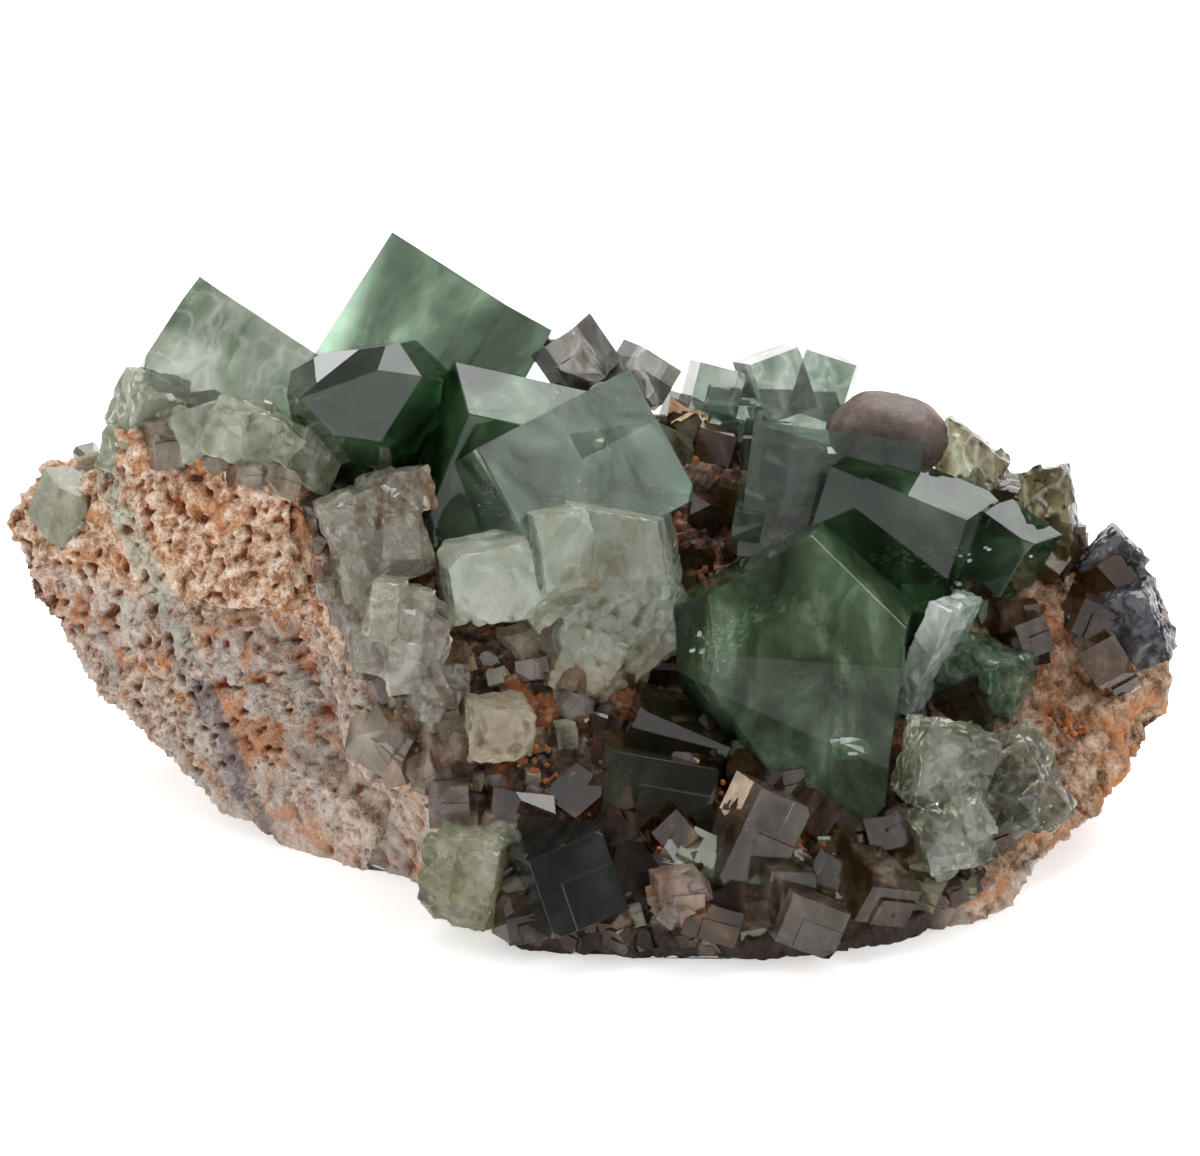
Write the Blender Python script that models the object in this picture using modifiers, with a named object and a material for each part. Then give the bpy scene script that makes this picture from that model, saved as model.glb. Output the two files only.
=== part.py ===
# Fluorite specimen: a carpet of green fluorite cubes grown on a block of pale brown host rock.
# Lengths in the lists below are millimetres in the world frame and turns are degrees.
# The rock rests on a flat cut base at z = 0 and the crystals face -Y and +Z.
import math
import random

import bpy
import bmesh
from mathutils import Euler, Matrix, Vector, noise

MM = 0.001

# Driving dimensions
FIT_GAP = 0.3
ROCK_VOXEL = 1.3
ROCK_ROUGH = 1.1
ROCK_TRIANGLES = 3000
PIT_DEPTH = 0.8
NODULE_RADII = (6.2, 5.0, 4.4)
LEFT_CUBE = (16.6, 14.0, 17.4)
BACK_CUBE = (13.5, 13.0, 18.0)
CENTRE_CUBE = (19.3, 14.3, 14.6)
PLATE_CUBE = (17.4, 11.0, 13.7)
RIGHT_CUBE = (15.1, 11.7, 14.1)
START_BLOCK = 44.0
FILLER_SIZES = (2.6, 5.4)
FILLER_COUNT = 84
# The edge of the crystal carpet, seen from above
CARPET_EDGE = (
    (-56, 20), (-44, 11), (-29, 0), (-10, -24), (8, -28), (24, -27), (38, -18), (55, 4),
    (53, 20), (38, 28), (0, 32), (-35, 32), (-53, 27),
)

# Corner points of the convex lumps that make up the host rock
ROCK_LUMPS = (
    # main body with the flat foot
    ((-25, -6, -3), (-8, -26, -3), (22, -27.5, -3), (38, -20, -3), (43, 10, -3), (12, 28, -3),
     (-17, 24, -3), (-8, -27, 4), (-16, -17, 8), (-23, -8, 13), (-27, -3, 20), (-30, 2, 25),
     (8, -28.5, 2), (22, -28.5, 2), (38, -21, 3), (-38, 20, 34), (-8, 32, 33), (15, 32, 31),
     (36, 27, 26), (-34, 9, 35), (50, -3, 8), (57, 7, 11), (52, 20, 19), (-28, 30, 28)),
    # left lobe that tapers to the far tip
    ((-61, 20, 25), (-59, 16, 18.5), (-52.5, 11.5, 11), (-45.5, 6.5, 5.5), (-38.5, -1, 2.5),
     (-28, -7, -1),
     (-57, 24, 30), (-49, 13, 33), (-40, 9, 30), (-50, 29, 29), (-30, 33, 28), (-42, 26, 9),
     (-20, 25, 4), (-24, 4, 24)),
    # proud block on the left, under the left cube
    ((-49, 12, 39), (-31, 3, 37), (-27, 8, 33), (-47, 23, 37), (-26, 20, 35), (-49.5, 9.5, 22),
     (-31, -1, 25), (-40, 3.5, 23), (-25, 2, 25), (-44, 24, 20), (-25, 20, 20)),
    # right end with its undercut rim
    ((58, 4, 11), (57, 8, 20), (52, 13, 23), (45, 20, 26), (39, 26, 26), (28, 30, 27),
     (56, 16, 15), (48, 24, 12), (38, -20, 1), (50, -7, 5), (38, 8, -1), (30, 4, 22),
     (46, 10, 4)),
)

# Crystals: middle, size and turn of a cube, then the cleavage cuts that trim it.
# A cut is an outward direction and its distance from the middle of the crystal.
LEFT_CUBES = (
    ((-38.4, 20.0, 39.5), LEFT_CUBE, (-27, 30, -15), ((-0.95, -0.20, 0.25, 9.6),)),
)
BACK_CUBES = (
    ((-20.5, 23.0, 43.8), BACK_CUBE, (-26, 31, -11), ()),
    ((-11.2, 28.0, 40.6), (9.0, 10.0, 10.0), (-26, 26, -13), ()),
)
DARK_TWIN = (
    ((-22.7, 6.0, 44.1), None, (0, 0, 0), (
        (0.09, -0.96, 0.28, 6.6), (0.17, -0.31, 0.93, 7.3), (-0.25, -0.23, 0.94, 6.6),
        (0.79, -0.49, -0.36, 4.6), (-0.05, -0.87, -0.49, 6.5), (-0.71, -0.44, -0.55, 5.8),
        (-0.10, -0.49, -0.87, 6.2), (-0.14, 0.36, 0.92, 5.8), (0.00, 1.00, 0.00, 6.0),
        (0.98, -0.11, -0.16, 6.5), (-0.52, 0.11, 0.85, 6.0), (0.72, 0.10, 0.69, 6.8),
        (-1.00, 0.00, 0.00, 8.4), (0.00, 0.00, -1.00, 12.0))),
)
CENTRE_CUBES = (
    ((-4.0, 8.0, 34.0), CENTRE_CUBE, (-36, -11, 37), ()),
    ((-10.1, 10.0, 40.8), None, (0, 0, 0), (
        (0.22, -0.32, 0.92, 3.5), (-0.84, -0.35, 0.40, 5.4), (0.04, -0.98, 0.17, 5.2),
        (1.00, 0.00, 0.00, 10.6), (0.05, 0.98, 0.20, 2.8), (0.00, 0.00, -1.00, 10.8),
        (-1.00, 0.00, 0.00, 8.5))),
    ((1.0, -2.0, 25.3), None, (0, 0, 0), (
        (0.31, -0.92, 0.26, 2.9), (-0.95, -0.26, 0.19, 5.8), (0.98, -0.10, 0.20, 6.3),
        (0.63, -0.51, -0.59, 7.2), (0.18, -0.50, -0.85, 10.0), (0.23, 0.26, 0.94, 10.0),
        (0.00, 1.00, 0.00, 10.0))),
    ((-11.1, -5.0, 30.2), (8.5, 9.0, 7.5), (-13, -7, 12), ()),
    ((-3.9, -4.0, 32.6), (5.5, 8.0, 8.5), (-16, -2, 15), ()),
    ((-10.0, -14.0, 18.2), (6.5, 7.0, 5.5), (-11, 3, 7), ()),
)
PLATE_CUBES = (
    ((23.0, 14.0, 30.5), PLATE_CUBE, (-22, 8, 0), ()),
    ((15.0, 9.0, 30.0), (3.0, 5.0, 3.0), (-12, 8, -6), ()),
)
RIGHT_CUBES = (
    ((30.1, 8.0, 27.9), RIGHT_CUBE, (-10, 13, -25), ()),
    ((41.0, 7.0, 28.0), (6.5, 8.0, 6.5), (-15, 22, -35), ()),
    ((38.8, 0.0, 17.5), (9.0, 8.0, 6.0), (-12, 6, -21), ()),
    ((33.6, -2.0, 20.7), (2.6, 8.0, 12.0), (-13, 16, -32), ()),
)
LARGE_TWIN = (
    ((20.0, -4.0, 19.6), None, (0, 0, 0), (
        (0.05, -0.65, 0.76, 8.0), (0.02, -0.91, 0.41, 8.3), (-0.06, -0.97, 0.24, 9.2),
        (-0.85, -0.40, 0.35, 11.9), (-0.76, -0.49, -0.42, 10.2), (0.69, -0.46, -0.56, 16.3),
        (0.00, 1.00, 0.00, 12.0), (0.99, -0.15, -0.06, 10.4), (0.61, 0.04, 0.79, 11.3),
        (-0.47, 0.28, 0.84, 11.6), (-1.00, -0.02, 0.03, 12.5), (-0.06, -0.45, -0.89, 17.9),
        (0.00, 0.00, -1.00, 17.0))),
)
BACK_LEFT_CUBES = (
    ((-2.4, 30.0, 39.1), (5.5, 6.0, 6.0), (-5, -38, -16), ()),
    ((4.2, 30.0, 37.1), (5.0, 6.0, 5.0), (-17, 37, 10), ()),
    ((1.0, 29.0, 35.0), (6.0, 7.0, 5.0), (-10, 5, 12), ()),
)
BACK_MIDDLE_CUBES = (
    ((18.2, 30.0, 36.2), (5.5, 7.0, 6.5), (-20, -13, 20), ()),
    ((23.5, 29.0, 36.5), (5.5, 7.0, 6.5), (-19, 13, -15), ()),
    ((11.7, 31.0, 35.1), (5.0, 6.0, 5.0), (-21, 17, 4), ()),
    ((18.0, 29.0, 33.0), (14.0, 6.0, 4.0), (-4, 3, 2), ()),
)
BACK_RIGHT_CUBES = (
    ((37.7, 22.0, 31.3), (8.0, 6.0, 5.0), (-26, 32, -21), ()),
    ((46.5, 18.0, 27.1), (4.5, 6.0, 9.0), (-20, -16, -10), ()),
    ((42.0, 20.0, 27.0), (8.0, 6.0, 5.0), (-5, 12, -12), ()),
)
RIGHT_EDGE_CUBES = (
    ((53.0, 8.0, 18.5), (9.0, 9.0, 8.0), (-11, -24, -5), ()),
    ((52.3, 14.0, 23.1), (5.0, 6.0, 6.0), (-23, 43, -16), ()),
)
FROSTED_CUBES = (
    ((34.0, -16.0, 15.0), (7.5, 8.0, 8.0), (-13, 16, 11), ()),
    ((40.5, -12.0, 11.6), (8.0, 8.0, 7.5), (-11, -29, -4), ()),
    ((34.6, -20.0, 9.4), (7.0, 7.0, 6.0), (-20, -10, 14), ()),
)
FRONT_LEFT_CUBES = (
    ((-3.4, -26.0, 7.8), (8.0, 8.0, 8.5), (-16, -13, 24), ()),
    ((-12.2, -22.0, 6.3), (7.5, 9.0, 9.0), (-15, 5, -24), ()),
)
FRONT_MIDDLE_CUBES = (
    ((5.1, -14.0, 11.8), (11.0, 9.0, 7.0), (-15, 14, 6), ()),
    ((7.2, -10.0, 14.8), (10.0, 8.0, 6.0), (-6, 25, -2), ()),
)
FRONT_RIGHT_CUBES = (
    ((14.9, -22.0, 10.1), (6.0, 7.0, 10.5), (-13, 30, 13), ()),
    ((20.2, -29.0, 4.6), (6.0, 5.0, 5.0), (-14, 24, 4), ()),
    ((17.5, -25.5, 6.5), (5.0, 6.0, 5.0), (-8, 12, 20), ()),
)
# Small crystals by hand, fused to the rock like the seeded ones
ROCK_CUBES = (
    ((-22.3, -1.0, 33.1), (9.0, 9.0, 10.0), (-20, -15, 16), ()),
    ((-19.8, -8.0, 24.9), (8.0, 8.0, 7.0), (-16, 17, 1), ()),
    ((7.4, -28.0, 7.2), (4.5, 5.0, 4.2), (-12, 0, 12), ()),
    ((10.5, -29.0, 4.8), (5.5, 4.5, 3.5), (-13, 19, 6), ()),
    ((43.3, 2.0, 21.0), (3.2, 5.0, 3.5), (-10, -17, 13), ()),
    ((-15.0, -14.0, 15.0), (6.0, 6.0, 6.0), (20, 10, 30), ()),
    ((-8.0, -19.0, 11.0), (6.0, 6.0, 5.0), (-20, 12, 8), ()),
    ((-2.0, -17.0, 11.0), (5.0, 5.0, 5.0), (12, -22, 40), ()),
    ((-21.0, -11.0, 15.5), (5.5, 6.0, 5.0), (-8, 24, -20), ()),
    ((27.0, -24.0, 6.0), (6.0, 6.0, 5.0), (15, 20, 30), ()),
    ((3.0, -24.0, 8.0), (5.0, 5.0, 5.0), (-25, 15, 10), ()),
    ((-46.0, 16.0, 39.0), (7.0, 6.0, 5.0), (10, 20, 25), ()),
    ((-36.0, 9.0, 38.0), (8.0, 6.0, 5.0), (-12, 8, -10), ()),
    ((-54.0, 17.0, 28.0), (6.0, 6.0, 6.0), (18, 12, 35), ()),
)


def make_collection(name):
    made = bpy.data.collections.new(name)
    bpy.context.scene.collection.children.link(made)
    return made


def move_to(obj, collection):
    for old in list(obj.users_collection):
        old.objects.unlink(obj)
    collection.objects.link(obj)


def make_material(name, colour, roughness, transmission=0.0, ior=1.45):
    mat = bpy.data.materials.new(name)
    mat.use_nodes = True
    shader = mat.node_tree.nodes["Principled BSDF"]
    shader.inputs["Base Color"].default_value = (*colour, 1.0)
    shader.inputs["Roughness"].default_value = roughness
    shader.inputs["Metallic"].default_value = 0.0
    shader.inputs["Transmission Weight"].default_value = transmission
    shader.inputs["IOR"].default_value = ior
    mat.diffuse_color = (*colour, 1.0)
    return mat


def apply_modifier(obj, modifier):
    bpy.context.view_layer.objects.active = obj
    bpy.ops.object.modifier_apply(modifier=modifier.name)


def boolean(obj, other, operation):
    """One exact Boolean of obj with other, which is removed afterwards."""
    tool = obj.modifiers.new(operation.lower(), "BOOLEAN")
    tool.operation = operation
    tool.solver = "EXACT"
    tool.object = other
    apply_modifier(obj, tool)
    bpy.data.objects.remove(other)


def cut_cube(centre, size, turn, cuts, grow):
    """A cube at its place, each side moved out by grow, trimmed by its cleavage cuts."""
    size = size or (START_BLOCK, START_BLOCK, START_BLOCK)
    bpy.ops.mesh.primitive_cube_add(size=1.0)
    obj = bpy.context.object
    obj.scale = [(length + 2 * grow) * MM for length in size]
    obj.rotation_euler = Euler([math.radians(angle) for angle in turn])
    obj.location = Vector(centre) * MM
    bpy.ops.object.transform_apply(location=True, rotation=True, scale=True)
    bm = bmesh.new()
    bm.from_mesh(obj.data)
    for nx, ny, nz, distance in cuts:
        normal = Vector((nx, ny, nz)).normalized()
        point = (Vector(centre) + normal * (distance + grow)) * MM
        everything = bm.verts[:] + bm.edges[:] + bm.faces[:]
        cut = bmesh.ops.bisect_plane(bm, geom=everything, dist=1e-7, plane_co=point,
                                     plane_no=normal, clear_outer=True)
        rim = [item for item in cut["geom_cut"] if isinstance(item, bmesh.types.BMEdge)]
        if rim:
            bmesh.ops.contextual_create(bm, geom=rim)
    bmesh.ops.remove_doubles(bm, verts=bm.verts[:], dist=5e-5)
    bmesh.ops.recalc_face_normals(bm, faces=bm.faces[:])
    bm.to_mesh(obj.data)
    bm.free()
    return obj


def cluster(name, crystals, grow=0.0):
    """The crystals of one group, joined where they have grown through each other."""
    whole = None
    for centre, size, turn, cuts in crystals:
        cube = cut_cube(centre, size, turn, cuts, grow)
        if whole is None:
            whole = cube
        else:
            boolean(whole, cube, "UNION")
    whole.name = name
    whole.data.name = name
    return whole


def keep_largest(obj):
    """Drops loose crumbs, so that the piece is one closed body."""
    bm = bmesh.new()
    bm.from_mesh(obj.data)
    left = set(bm.faces)
    groups = []
    while left:
        stack = [left.pop()]
        group = set(stack)
        while stack:
            face = stack.pop()
            sides = [edge for edge in face.edges if len(edge.link_faces) == 2]
            for other in [side for edge in sides for side in edge.link_faces]:
                if other in left:
                    left.remove(other)
                    group.add(other)
                    stack.append(other)
        groups.append(group)
    groups.sort(key=len, reverse=True)
    crumbs = [face for group in groups[1:] for face in group]
    bmesh.ops.delete(bm, geom=crumbs, context="FACES")
    bm.to_mesh(obj.data)
    bm.free()


def tidy_mesh(obj, merge=0.03):
    """Merges slivers, makes every face a triangle and points the faces outwards."""
    bm = bmesh.new()
    bm.from_mesh(obj.data)
    bmesh.ops.dissolve_limit(bm, angle_limit=math.radians(0.5), verts=bm.verts[:],
                             edges=bm.edges[:])
    bmesh.ops.remove_doubles(bm, verts=bm.verts[:], dist=merge * MM)
    bmesh.ops.dissolve_degenerate(bm, dist=merge * MM, edges=bm.edges[:])
    bmesh.ops.triangulate(bm, faces=bm.faces[:])
    bmesh.ops.recalc_face_normals(bm, faces=bm.faces[:])
    bm.to_mesh(obj.data)
    bm.free()


def near(first, second, margin=1.0):
    """True where the boxes around two objects touch."""
    for axis in range(3):
        a = [corner[axis] for corner in first.bound_box]
        b = [corner[axis] for corner in second.bound_box]
        if max(a) + margin * MM < min(b) or max(b) + margin * MM < min(a):
            return False
    return True


# Start from an empty file
for old in list(bpy.data.objects):
    bpy.data.objects.remove(old, do_unlink=True)

parts = make_collection("fluorite_specimen")
cutters = make_collection("cutters")
rng = random.Random(11)

rock_mat = make_material("host_rock", (0.52, 0.38, 0.30), 0.85)
deep_green = make_material("deep_green_fluorite", (0.10, 0.24, 0.16), 0.08, 0.6, 1.434)
mid_green = make_material("green_fluorite", (0.30, 0.48, 0.38), 0.10, 0.6, 1.434)
pale_green = make_material("pale_fluorite", (0.56, 0.64, 0.54), 0.35, 0.5, 1.434)
smoky = make_material("smoky_fluorite", (0.30, 0.27, 0.24), 0.12, 0.5, 1.434)
brown_mat = make_material("brown_nodule", (0.30, 0.21, 0.16), 0.45)

GROUPS = (
    ("cube_left", LEFT_CUBES, mid_green),
    ("cubes_back", BACK_CUBES, mid_green),
    ("twin_dark", DARK_TWIN, deep_green),
    ("cubes_centre", CENTRE_CUBES, mid_green),
    ("twin_large", LARGE_TWIN, deep_green),
    ("cubes_right", RIGHT_CUBES, deep_green),
    ("cubes_plate", PLATE_CUBES, mid_green),
    ("cubes_back_left", BACK_LEFT_CUBES, pale_green),
    ("cubes_back_middle", BACK_MIDDLE_CUBES, pale_green),
    ("cubes_back_right", BACK_RIGHT_CUBES, pale_green),
    ("cubes_right_edge", RIGHT_EDGE_CUBES, smoky),
    ("cubes_frosted", FROSTED_CUBES, pale_green),
    ("cubes_front_left", FRONT_LEFT_CUBES, pale_green),
    ("cubes_front_middle", FRONT_MIDDLE_CUBES, deep_green),
    ("cubes_front_right", FRONT_RIGHT_CUBES, smoky),
)


# Host rock: convex lumps run together, then roughened and pitted
def rock_lump(points):
    bm = bmesh.new()
    corners = [bm.verts.new(Vector(point) * MM) for point in points]
    hull = bmesh.ops.convex_hull(bm, input=corners)
    inner = set(hull["geom_interior"]) | set(hull["geom_unused"])
    spare = [item for item in inner if isinstance(item, bmesh.types.BMVert)]
    bmesh.ops.delete(bm, geom=spare, context="VERTS")
    mesh = bpy.data.meshes.new("lump")
    bm.to_mesh(mesh)
    bm.free()
    lump = bpy.data.objects.new("lump", mesh)
    parts.objects.link(lump)
    return lump


lumps = [rock_lump(points) for points in ROCK_LUMPS]
bpy.ops.object.select_all(action="DESELECT")
for lump in lumps:
    lump.select_set(True)
bpy.context.view_layer.objects.active = lumps[0]
bpy.ops.object.join()
matrix = bpy.context.object
matrix.name = "matrix"
matrix.data.name = "matrix"

remesh = matrix.modifiers.new("run_together", "REMESH")
remesh.mode = "VOXEL"
remesh.voxel_size = ROCK_VOXEL * MM
apply_modifier(matrix, remesh)

for vert in matrix.data.vertices:
    place = vert.co / MM
    swell = noise.fractal(place * 0.11, 0.9, 2.1, 3) * ROCK_ROUGH
    pits = max(0.0, noise.noise(place * 0.42 + Vector((5.0, 1.0, 3.0)))) * PIT_DEPTH
    vert.co += vert.normal * (swell - pits) * MM

decimate = matrix.modifiers.new("simplify", "DECIMATE")
decimate.ratio = ROCK_TRIANGLES / (2 * len(matrix.data.polygons))
apply_modifier(matrix, decimate)

# The crystal groups and the pockets that they sit in
groups = []
for name, crystals, mat in GROUPS:
    group = cluster(name, crystals)
    group.data.materials.append(mat)
    move_to(group, parts)
    groups.append(group)

bpy.ops.mesh.primitive_ico_sphere_add(subdivisions=3, radius=1.0)
nodule = bpy.context.object
nodule.name = "nodule"
nodule.data.name = "nodule"
nodule.scale = [radius * MM for radius in NODULE_RADII]
nodule.rotation_euler = Euler((math.radians(-20), math.radians(8), 0.0))
nodule.location = Vector((28.7, 21.5, 34.8)) * MM
bpy.ops.object.transform_apply(location=True, rotation=True, scale=True)
for vert in nodule.data.vertices:
    vert.co += vert.normal * noise.noise(vert.co / MM * 0.22) * 0.5 * MM
nodule.data.materials.append(brown_mat)
move_to(nodule, parts)


# Small crystals that carpet the rock between the large ones
def inside_carpet(x, y):
    """True where a place, seen from above, lies inside the edge of the carpet."""
    inside = False
    for (x1, y1), (x2, y2) in zip(CARPET_EDGE, CARPET_EDGE[1:] + CARPET_EDGE[:1]):
        if (y1 > y) != (y2 > y) and x < (x2 - x1) * (y - y1) / (y2 - y1) + x1:
            inside = not inside
    return inside


fillers = list(ROCK_CUBES)
tries = 0
while len(fillers) < FILLER_COUNT and tries < 2000:
    tries += 1
    x = rng.uniform(-56.0, 56.0)
    y = rng.uniform(-29.0, 34.0)
    size = rng.uniform(*FILLER_SIZES)
    turn = (rng.uniform(-40, 40), rng.uniform(-40, 40), rng.uniform(0, 90))
    spread = [math.hypot(c[0][0] - x, c[0][1] - y) / (size + c[1][0]) for c in fillers]
    if not inside_carpet(x, y) or min(spread) < 0.6:
        continue
    hit, point, normal, index = matrix.ray_cast(Vector((x, y, 90.0)) * MM, Vector((0, 0, -1)))
    middle = point / MM + Vector((0.0, -0.04, 0.12)) * size
    fillers.append((tuple(middle), (size, size * 1.05, size * 0.95), turn, ()))

for centre, size, turn, cuts in fillers:
    boolean(matrix, cut_cube(centre, size, turn, cuts, 0.0), "UNION")

# The flat foot that it rests on
foot = cut_cube((0, 0, -30.0), (200.0, 200.0, 60.0), (0, 0, 0), (), 0.0)
foot.name = "foot_cutter"
boolean(matrix, foot, "DIFFERENCE")

# Pockets: earlier groups keep their shape and later ones make room for them
order = groups + [nodule]
for index, keeper in enumerate(order[:-1]):
    for other in order[index + 1:]:
        if near(keeper, other):
            boolean(other, cluster("grown", GROUPS[index][1], FIT_GAP), "DIFFERENCE")
for index, keeper in enumerate(groups):
    boolean(matrix, cluster("grown", GROUPS[index][1], FIT_GAP), "DIFFERENCE")
grown = nodule.copy()
grown.data = nodule.data.copy()
parts.objects.link(grown)
for vert in grown.data.vertices:
    vert.co += vert.normal * FIT_GAP * MM
boolean(matrix, grown, "DIFFERENCE")

matrix.data.materials.clear()
matrix.data.materials.append(rock_mat)
move_to(matrix, parts)
for obj in order + [matrix]:
    keep_largest(obj)
    tidy_mesh(obj)
    keep_largest(obj)
    for polygon in obj.data.polygons:
        polygon.material_index = 0
        polygon.use_smooth = False

# The origin goes to the middle of the box around the part, at the height of its foot
corners = [vert.co for obj in order + [matrix] for vert in obj.data.vertices]
low = Vector([min(corner[axis] for corner in corners) for axis in range(3)])
high = Vector([max(corner[axis] for corner in corners) for axis in range(3)])
shift = Vector((-(low.x + high.x) / 2, -(low.y + high.y) / 2, -low.z))
for obj in order + [matrix]:
    obj.data.transform(Matrix.Translation(shift))
    obj.data.update()
    print(obj.name, len(obj.data.polygons))
print("moved by", [round(value / MM, 2) for value in shift], "mm")
print("size", [round(value / MM, 1) for value in high - low], "mm")
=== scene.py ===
import math
import random

import bpy
from mathutils import Euler, Matrix, Vector, noise
from mathutils.bvhtree import BVHTree


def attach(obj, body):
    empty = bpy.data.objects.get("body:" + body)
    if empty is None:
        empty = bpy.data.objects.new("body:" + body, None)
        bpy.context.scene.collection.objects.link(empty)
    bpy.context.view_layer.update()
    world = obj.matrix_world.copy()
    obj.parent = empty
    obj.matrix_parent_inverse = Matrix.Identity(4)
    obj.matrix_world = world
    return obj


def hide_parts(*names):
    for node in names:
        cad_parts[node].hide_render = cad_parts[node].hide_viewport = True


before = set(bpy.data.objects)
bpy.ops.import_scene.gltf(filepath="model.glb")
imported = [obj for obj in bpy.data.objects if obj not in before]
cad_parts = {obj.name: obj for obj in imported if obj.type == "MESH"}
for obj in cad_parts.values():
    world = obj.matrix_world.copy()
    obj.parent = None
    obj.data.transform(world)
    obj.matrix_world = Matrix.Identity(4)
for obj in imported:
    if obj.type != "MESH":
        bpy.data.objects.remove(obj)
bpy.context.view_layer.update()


# Host rock
# The block that everything grew on: a pale brown, porous rock with rust stains and thin grey
# veins. It broke off its vein, so the left side is one tall rough break and the right end
# is an undercut rim.
MM = 0.001
TO_FRAME = Vector((0.47, -1.47, 0.0)) * MM
ROCK_VOXEL = 0.44
ROCK_ROUGH = 1.1
PIT_DEPTH = 0.8
CRUMB_DEPTH = 1.15
HOLE_DEPTH = 2.8
ROCK_LUMPS = (
    # main body with the flat foot
    ((-25, -6, -3), (-8, -26, -3), (22, -27.5, -3), (38, -20, -3), (43, 10, -3), (12, 28, -3),
     (-17, 24, -3), (-8, -27, 4), (-16, -17, 8), (-23, -8, 13), (-27, -3, 20), (-30, 2, 25),
     (8, -28.5, 2), (22, -28.5, 2), (38, -21, 3), (-38, 20, 34), (-8, 32, 33), (15, 32, 31),
     (36, 27, 26), (-34, 9, 35), (50, -3, 8), (57, 7, 11), (52, 20, 19), (-28, 30, 28)),
    # left lobe that tapers to the far tip
    ((-61, 20, 25), (-59, 16, 18.5), (-52.5, 11.5, 11), (-45.5, 6.5, 5.5), (-38.5, -1, 2.5),
     (-28, -7, -1), (-57, 24, 30), (-49, 13, 33), (-40, 9, 30), (-50, 29, 29), (-30, 33, 28),
     (-42, 26, 9), (-20, 25, 4), (-24, 4, 24)),
    # proud block under the left cube
    ((-49, 12, 39), (-31, 3, 37), (-27, 8, 33), (-47, 23, 37), (-26, 20, 35), (-49.5, 9.5, 22),
     (-31, -1, 25), (-40, 3.5, 23), (-25, 2, 25), (-44, 24, 20), (-25, 20, 20)),
    # right end with its undercut rim
    ((58, 4, 11), (57, 8, 20), (52, 13, 23), (45, 20, 26), (39, 26, 26), (28, 30, 27),
     (56, 16, 15), (48, 24, 12), (38, -20, 1), (50, -7, 5), (38, 8, -1), (30, 4, 22),
     (46, 10, 4)),
    # foot that closes the gap under the left lobe
    ((-35, -3, 1), (-24, -9, -2), (-21, -13, 6), (-31, -4, 9), (-26, 2, -2), (-30, 2, 11)),
)


def only(obj):
    """Selects one object alone, which the operators then act on."""
    bpy.ops.object.select_all(action="DESELECT")
    obj.select_set(True)
    bpy.context.view_layer.objects.active = obj


def apply_modifier(obj, name, kind, **settings):
    """Adds a modifier of that kind with its settings, and applies it."""
    only(obj)
    tool = obj.modifiers.new(name, kind)
    for key, value in settings.items():
        setattr(tool, key, value)
    bpy.ops.object.modifier_apply(modifier=tool.name)


def rock_lump(name, points):
    """One convex lump of rock around points in mm."""
    mesh = bpy.data.meshes.new(name)
    mesh.from_pydata([Vector(point) * MM for point in points], [], [])
    lump = bpy.data.objects.new(name, mesh)
    bpy.context.scene.collection.objects.link(lump)
    only(lump)
    bpy.ops.object.mode_set(mode="EDIT")
    bpy.ops.mesh.select_all(action="SELECT")
    bpy.ops.mesh.convex_hull()
    bpy.ops.mesh.normals_make_consistent(inside=False)
    bpy.ops.object.mode_set(mode="OBJECT")
    return lump


def join(pieces, name):
    """Makes one object of several and names it."""
    only(pieces[0])
    for piece in pieces[1:]:
        piece.select_set(True)
    if len(pieces) > 1:
        bpy.ops.object.join()
    whole = bpy.context.view_layer.objects.active
    whole.name = name
    whole.data.name = name
    return whole


# the layers of the rock lie across this direction, and the seam is one of them
SEAM_AXIS = Vector((0.91, 0.17, 0.36)).normalized()
SEAM_PLACE = -31.4
SEAM_HALF = 1.8
SEAM_FADE = 1.0
LAYER_STRETCH = (0.22, 0.22, 1.0)
PORE_SCALE = 980.0


def push_out(obj, broad, fine):
    """Moves each point along its normal by two heights, in mm, that its place gives. The fine one is
    kept as the attribute relief, from which painted shade darkens the hollows and a painted
    highlight lightens the lumps."""
    normals = [vert.normal.copy() for vert in obj.data.vertices]
    relief = []
    for vert, normal in zip(obj.data.vertices, normals):
        place = vert.co / MM
        relief.append(fine(place))
        vert.co += normal * (broad(place) + relief[-1]) * MM
    kept = obj.data.attributes.new("relief", "FLOAT", "POINT")
    kept.data.foreach_set("value", relief)


def rock_swell(place):
    """Broad swells a few millimetres across, with wide shallow pits in them."""
    swell = noise.fractal(place * 0.11, 0.9, 2.1, 3) * ROCK_ROUGH
    pits = max(0.0, noise.noise(place * 0.42 + Vector((5.0, 1.0, 3.0)))) * PIT_DEPTH
    return swell - pits


def rock_grain(place):
    """Crumbs about a millimetre across with holes between them, drawn out on the slope."""
    slope = 1.0 - min(1.0, max(0.0, (place.z - 16.0 - 0.35 * place.x) / 12.0))
    along = place.dot(SEAM_AXIS)
    stretched = place * 1.25 - (place - SEAM_AXIS * along) * 0.75 * slope
    crumbs = (0.5 - noise.voronoi(stretched * 1.25)[0][0]) * (CRUMB_DEPTH - 0.70 * slope)
    crumbs *= 0.7 + 0.6 * noise.noise(place * 0.14 + Vector((3.0, 8.0, 1.0)))
    grain = noise.fractal(stretched * 0.9, 0.8, 2.2, 3) * 0.42
    hole = max(0.0, noise.noise(stretched * (0.8 + 0.4 * slope) + Vector((2.0, 7.0, 4.0))) - 0.2)
    hole *= HOLE_DEPTH - 1.5 * slope
    return crumbs + grain - hole


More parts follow.
